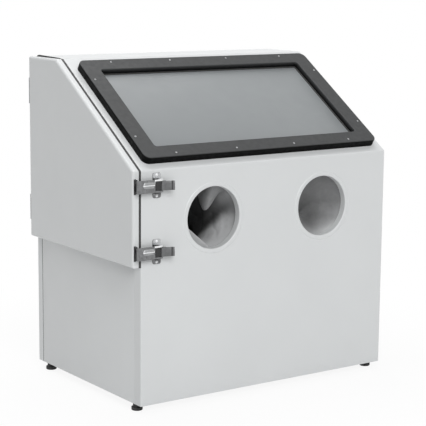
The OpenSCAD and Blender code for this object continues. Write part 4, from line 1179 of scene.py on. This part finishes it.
def hand_chains():
    """Chains of (point, radius) for fingers, thumb and palm, from the middle of the knuckles."""
    chains = []
    for across, length, thick in FINGERS:
        x, y, r = across * PALM_R, length * FINGER_L, thick * FINGER_R
        chains.append([((0.9 * x, -0.5 * PALM_R, 0.1 * SAG), 1.15 * r), ((x, 0, 0), r),
                       ((1.08 * x, 0.55 * y, -SAG), 0.95 * r), ((1.1 * x, y, -3 * SAG), 0.82 * r)])
    chains.append([((0.71 * PALM_R, -PALM_R, SAG), 1.2 * FINGER_R),
                   ((1.17 * PALM_R, -0.3 * PALM_R, -SAG), FINGER_R),
                   ((1.29 * PALM_R, 0.25 * PALM_R, -2.4 * SAG), 0.86 * FINGER_R)])
    for across in PALM_BARS:
        chains.append([((0.85 * across * PALM_R, -1.62 * PALM_R, 0.42 * PALM_T), 0.9 * PALM_T),
                       ((across * PALM_R, -0.8 * PALM_R, 0.1 * PALM_T), 0.85 * PALM_T),
                       ((across * PALM_R, -0.1 * PALM_R, 0), 0.62 * PALM_T)])
    return chains


def hand(side, node, finish):
    """A rubber hand on the grid, its fingers run together into the palm."""
    knuckle = arm_centre(node.replace("glove", "arm_ring")) + Vector((0, KNUCKLE_IN, -HAND_DROP))
    bm = bmesh.new()
    for chain in hand_chains():
        for (p, r), (q, s) in zip(chain, chain[1:]):
            p, q = Vector(p), Vector(q)
            count = max(3, int((q - p).length / (BALL_STEP * min(r, s))))
            for k in range(count + 1):
                f = k / count
                at = Matrix.Translation(knuckle + Vector((-side, 1, 1)) * p.lerp(q, f))
                bmesh.ops.create_icosphere(bm, subdivisions=2, radius=r + (s - r) * f, matrix=at)
    piece = from_bmesh(node + "_hand", bm)
    merge = piece.modifiers.new("merge", "REMESH")
    merge.mode = "VOXEL"
    merge.voxel_size = HAND_GRAIN
    merge.use_smooth_shade = True
    relax = piece.modifiers.new("relax", "SMOOTH")
    relax.factor = 0.5
    relax.iterations = HAND_RELAX
    return dressed(applied(piece), "cabinet", "glove_rubber", finish)


# Hoses on the rear wall

def hose(name, node, finish, radius, route):
    """A hose along a route of X and Z in the body's own millimetres, its corners bent to one radius."""
    origin = Vector(((LEFT + RIGHT) / 2, (FRONT + REAR) / 2, BASE))
    points = [Vector((x, HOSE_Y, z)) * MM + origin for x, z in route]
    line = [points[0]]
    for before, corner, after in zip(points, points[1:], points[2:]):
        u = (before - corner).normalized() * HOSE_BEND
        v = (after - corner).normalized() * HOSE_BEND
        centre = corner + u + v
        line += [centre - v * cos(a) - u * sin(a) for a in arc(pi / 2, BEND_STEPS)]
    line.append(points[-1])
    deep = Vector((0, 1, 0))
    loops = []
    for p, along in zip(line, headings(line)):
        side = along.cross(deep).normalized()
        turn = circle(MANY_STEPS)
        loops.append([p + radius * (side * cos(a) + deep * sin(a)) for a in turn])
    return dressed(evened(tube(name, loops)), "cabinet", slot_of(node), finish, node)


# Stage

def seen_directly(tree):
    """One where a ray comes from the camera, a mirror or a glass, and nought elsewhere."""
    path = shader_node(tree, "ShaderNodeLightPath")
    total = path.outputs["Is Camera Ray"]
    for name in ("Is Glossy Ray", "Is Transmission Ray"):
        total = math_node(tree, "MAXIMUM", total, path.outputs[name])
    return total


def floor():
    """A plain pale floor that keeps the shadow and shows white to the camera."""
    bm = bmesh.new()
    bmesh.ops.create_grid(bm, x_segments=1, y_segments=1, size=FLOOR_SIZE)
    plane = from_bmesh("floor", bm, smooth=False)
    material = bpy.data.materials.new("floor")
    material.use_nodes = True
    tree = material.node_tree
    tree.nodes.clear()
    reach = shader_node(tree, "ShaderNodeVectorMath")
    reach.operation = "LENGTH"
    tree.links.new(shader_node(tree, "ShaderNodeTexCoord").outputs["Object"], reach.inputs[0])
    near, far = FLOOR_SPAN
    whiter = shader_node(tree, "ShaderNodeMapRange", Value=reach.outputs["Value"],
                         From_Min=near, From_Max=far, To_Min=FLOOR_WHITE)
    whiter.interpolation_type = "SMOOTHSTEP"
    share = math_node(tree, "MULTIPLY", seen_directly(tree), whiter.outputs["Result"])
    diffuse = shader_node(tree, "ShaderNodeBsdfDiffuse", Color=(FLOOR_TONE, FLOOR_TONE, FLOOR_TONE, 1))
    white = shader_node(tree, "ShaderNodeEmission")
    mix = shader_node(tree, "ShaderNodeMixShader", Fac=share)
    tree.links.new(diffuse.outputs[0], mix.inputs[1])
    tree.links.new(white.outputs[0], mix.inputs[2])
    shader_node(tree, "ShaderNodeOutputMaterial", Surface=mix.outputs[0])
    plane.data.materials.append(material)


def softbox(name, power, place, size):
    data = bpy.data.lights.new(name, "AREA")
    data.size = size
    data.energy = power
    lamp = linked(name, data)
    lamp.location = place
    lamp.rotation_euler = (LIT_POINT - Vector(place)).to_track_quat("-Z", "Y").to_euler()


def lights():
    world = bpy.data.worlds.new("studio")
    world.use_nodes = True
    tree = world.node_tree
    sky = tree.nodes["Background"]
    sky.inputs["Color"].default_value = (1, 1, 1, 1)
    strength = shader_node(tree, "ShaderNodeMapRange", Value=seen_directly(tree), To_Min=SKY_LIGHT)
    tree.links.new(strength.outputs["Result"], sky.inputs["Strength"])
    bpy.context.scene.world = world
    softbox("front_softbox", *FRONT_BOX)
    softbox("top_softbox", *TOP_BOX)


def camera():
    data = bpy.data.cameras.new("camera")
    data.sensor_width = SENSOR
    data.lens = PHOTO_FOCAL / PHOTO_SIDE * SENSOR
    data.clip_end = VIEW_END
    level = Vector((cos(YAW), -sin(YAW), 0))
    ahead = Vector((sin(YAW) * cos(PITCH), cos(YAW) * cos(PITCH), -sin(PITCH)))
    plumb = level.cross(ahead)
    right = cos(ROLL) * level + sin(ROLL) * plumb
    up = cos(ROLL) * plumb - sin(ROLL) * level
    eye = linked("camera", data)
    eye.matrix_world = Matrix.Translation(EYE) @ Matrix((right, up, -ahead)).transposed().to_4x4()
    bpy.context.scene.camera = eye


camera()
floor()
lights()
bpy.context.scene.view_settings.view_transform = "Standard"

front_shell(PAINT)
door_pan(PAINT)
window_frame(FRAME_FACE, FRAME_WALL)
window_screws(SCREW)
window_bead(RUBBER)
door_lip(RUBBER)
gap_seal(SEAL)
rear_seam("rear_seam_left", LEFT, -1, DOOR_LOW.z, RUBBER)
rear_seam("rear_seam_right", RIGHT, 1, TOP - FLANGE_W, RUBBER)
# On the latches the black is painted shade, and the white and the bright zinc are painted highlights
for place in ("upper", "lower"):
    lever("lever_" + place, DULL, PAINTED_SHADE_BLACK)
    latch_base("latch_base_" + place, WORN, PAINTED_SHADE_BLACK, ZINC)
    hook("hook_" + place, WORN, HIGHLIGHT_WHITE)
    hook_rib("hook_" + place, SCREW, HIGHLIGHT_WHITE)
    keeper("keeper_" + place, PAINTED_SHADE_BLACK, PAINT)
for node in ("arm_ring_left", "arm_ring_right"):
    arm_ring(node, PAINT)
sleeve(1, "glove_left", (CLOTH, GLOVE), left_painted_light, curtains=[LEFT_FOLD], lobes=[LEFT_LOBE])
sleeve(-1, "glove_right", (CLOTH, GLOVE), right_painted_light, pinches=[RIGHT_PINCH])
hand(1, "glove_left", GLOVE)
hand(-1, "glove_right", GLOVE)
hose("media_hose_finish", "media_hose", RUBBER, 8 * MM,
     [(38, 478), (38, 375), (-52, 375), (-52, 610), (-120, 610), (-120, 345)])
hose("air_hose_finish", "air_hose", BLUE, 6.5 * MM,
     [(121, 408), (121, 345), (211, 345), (211, 610), (300, 610), (300, 426)])

# Finish of the plain pieces, and how wide their edges are rounded
SOFT_EDGES = [
    (PAINT, 0.4 * MM, "rear_panel left_panel right_panel base_pan door_liner dust_baffle lamp_housing"),
    (RUBBER, 0.4 * MM, "foot_front_left foot_front_right foot_rear_left foot_rear_right "
     "window_gasket door_seal"),
    (ZINC, 0.3 * MM, "glove_clamps hinge_leaf_upper hinge_leaf_lower door_leaf_upper door_leaf_lower"),
    # The latch rivets are white as a painted highlight
    (HIGHLIGHT_WHITE, 0.3 * MM, "latch_rivets"),
    # The keeper rivets are black as painted shade
    (PAINTED_SHADE_BLACK, 0.3 * MM, "keeper_rivets"),
    (GALVANISED, 0.3 * MM, "hopper work_grid grid_rails gun_holder dust_outlet"),
    (STEEL, 0.25 * MM, "foot_studs pickup_tube gun_trigger_pin hinge_pins "
     "latch_pivots hook_pin_upper hook_pin_lower"),
    (PLASTIC, 0.4 * MM, "gun_cap gun_trigger hose_clips cable_gland"),
    (ALUMINIUM, 0.6 * MM, "gun_body"),
    (CERAMIC, 0.3 * MM, "gun_nozzle"),
    (BRASS, 0.4 * MM, "air_inlet"),
    (DIFFUSER, 0.4 * MM, "lamp_lens"),
    (GLASS, 0.3 * MM, "window_glass"),
]
for finish, width, names in SOFT_EDGES:
    for name in names.split():
        softened(name, finish, width)
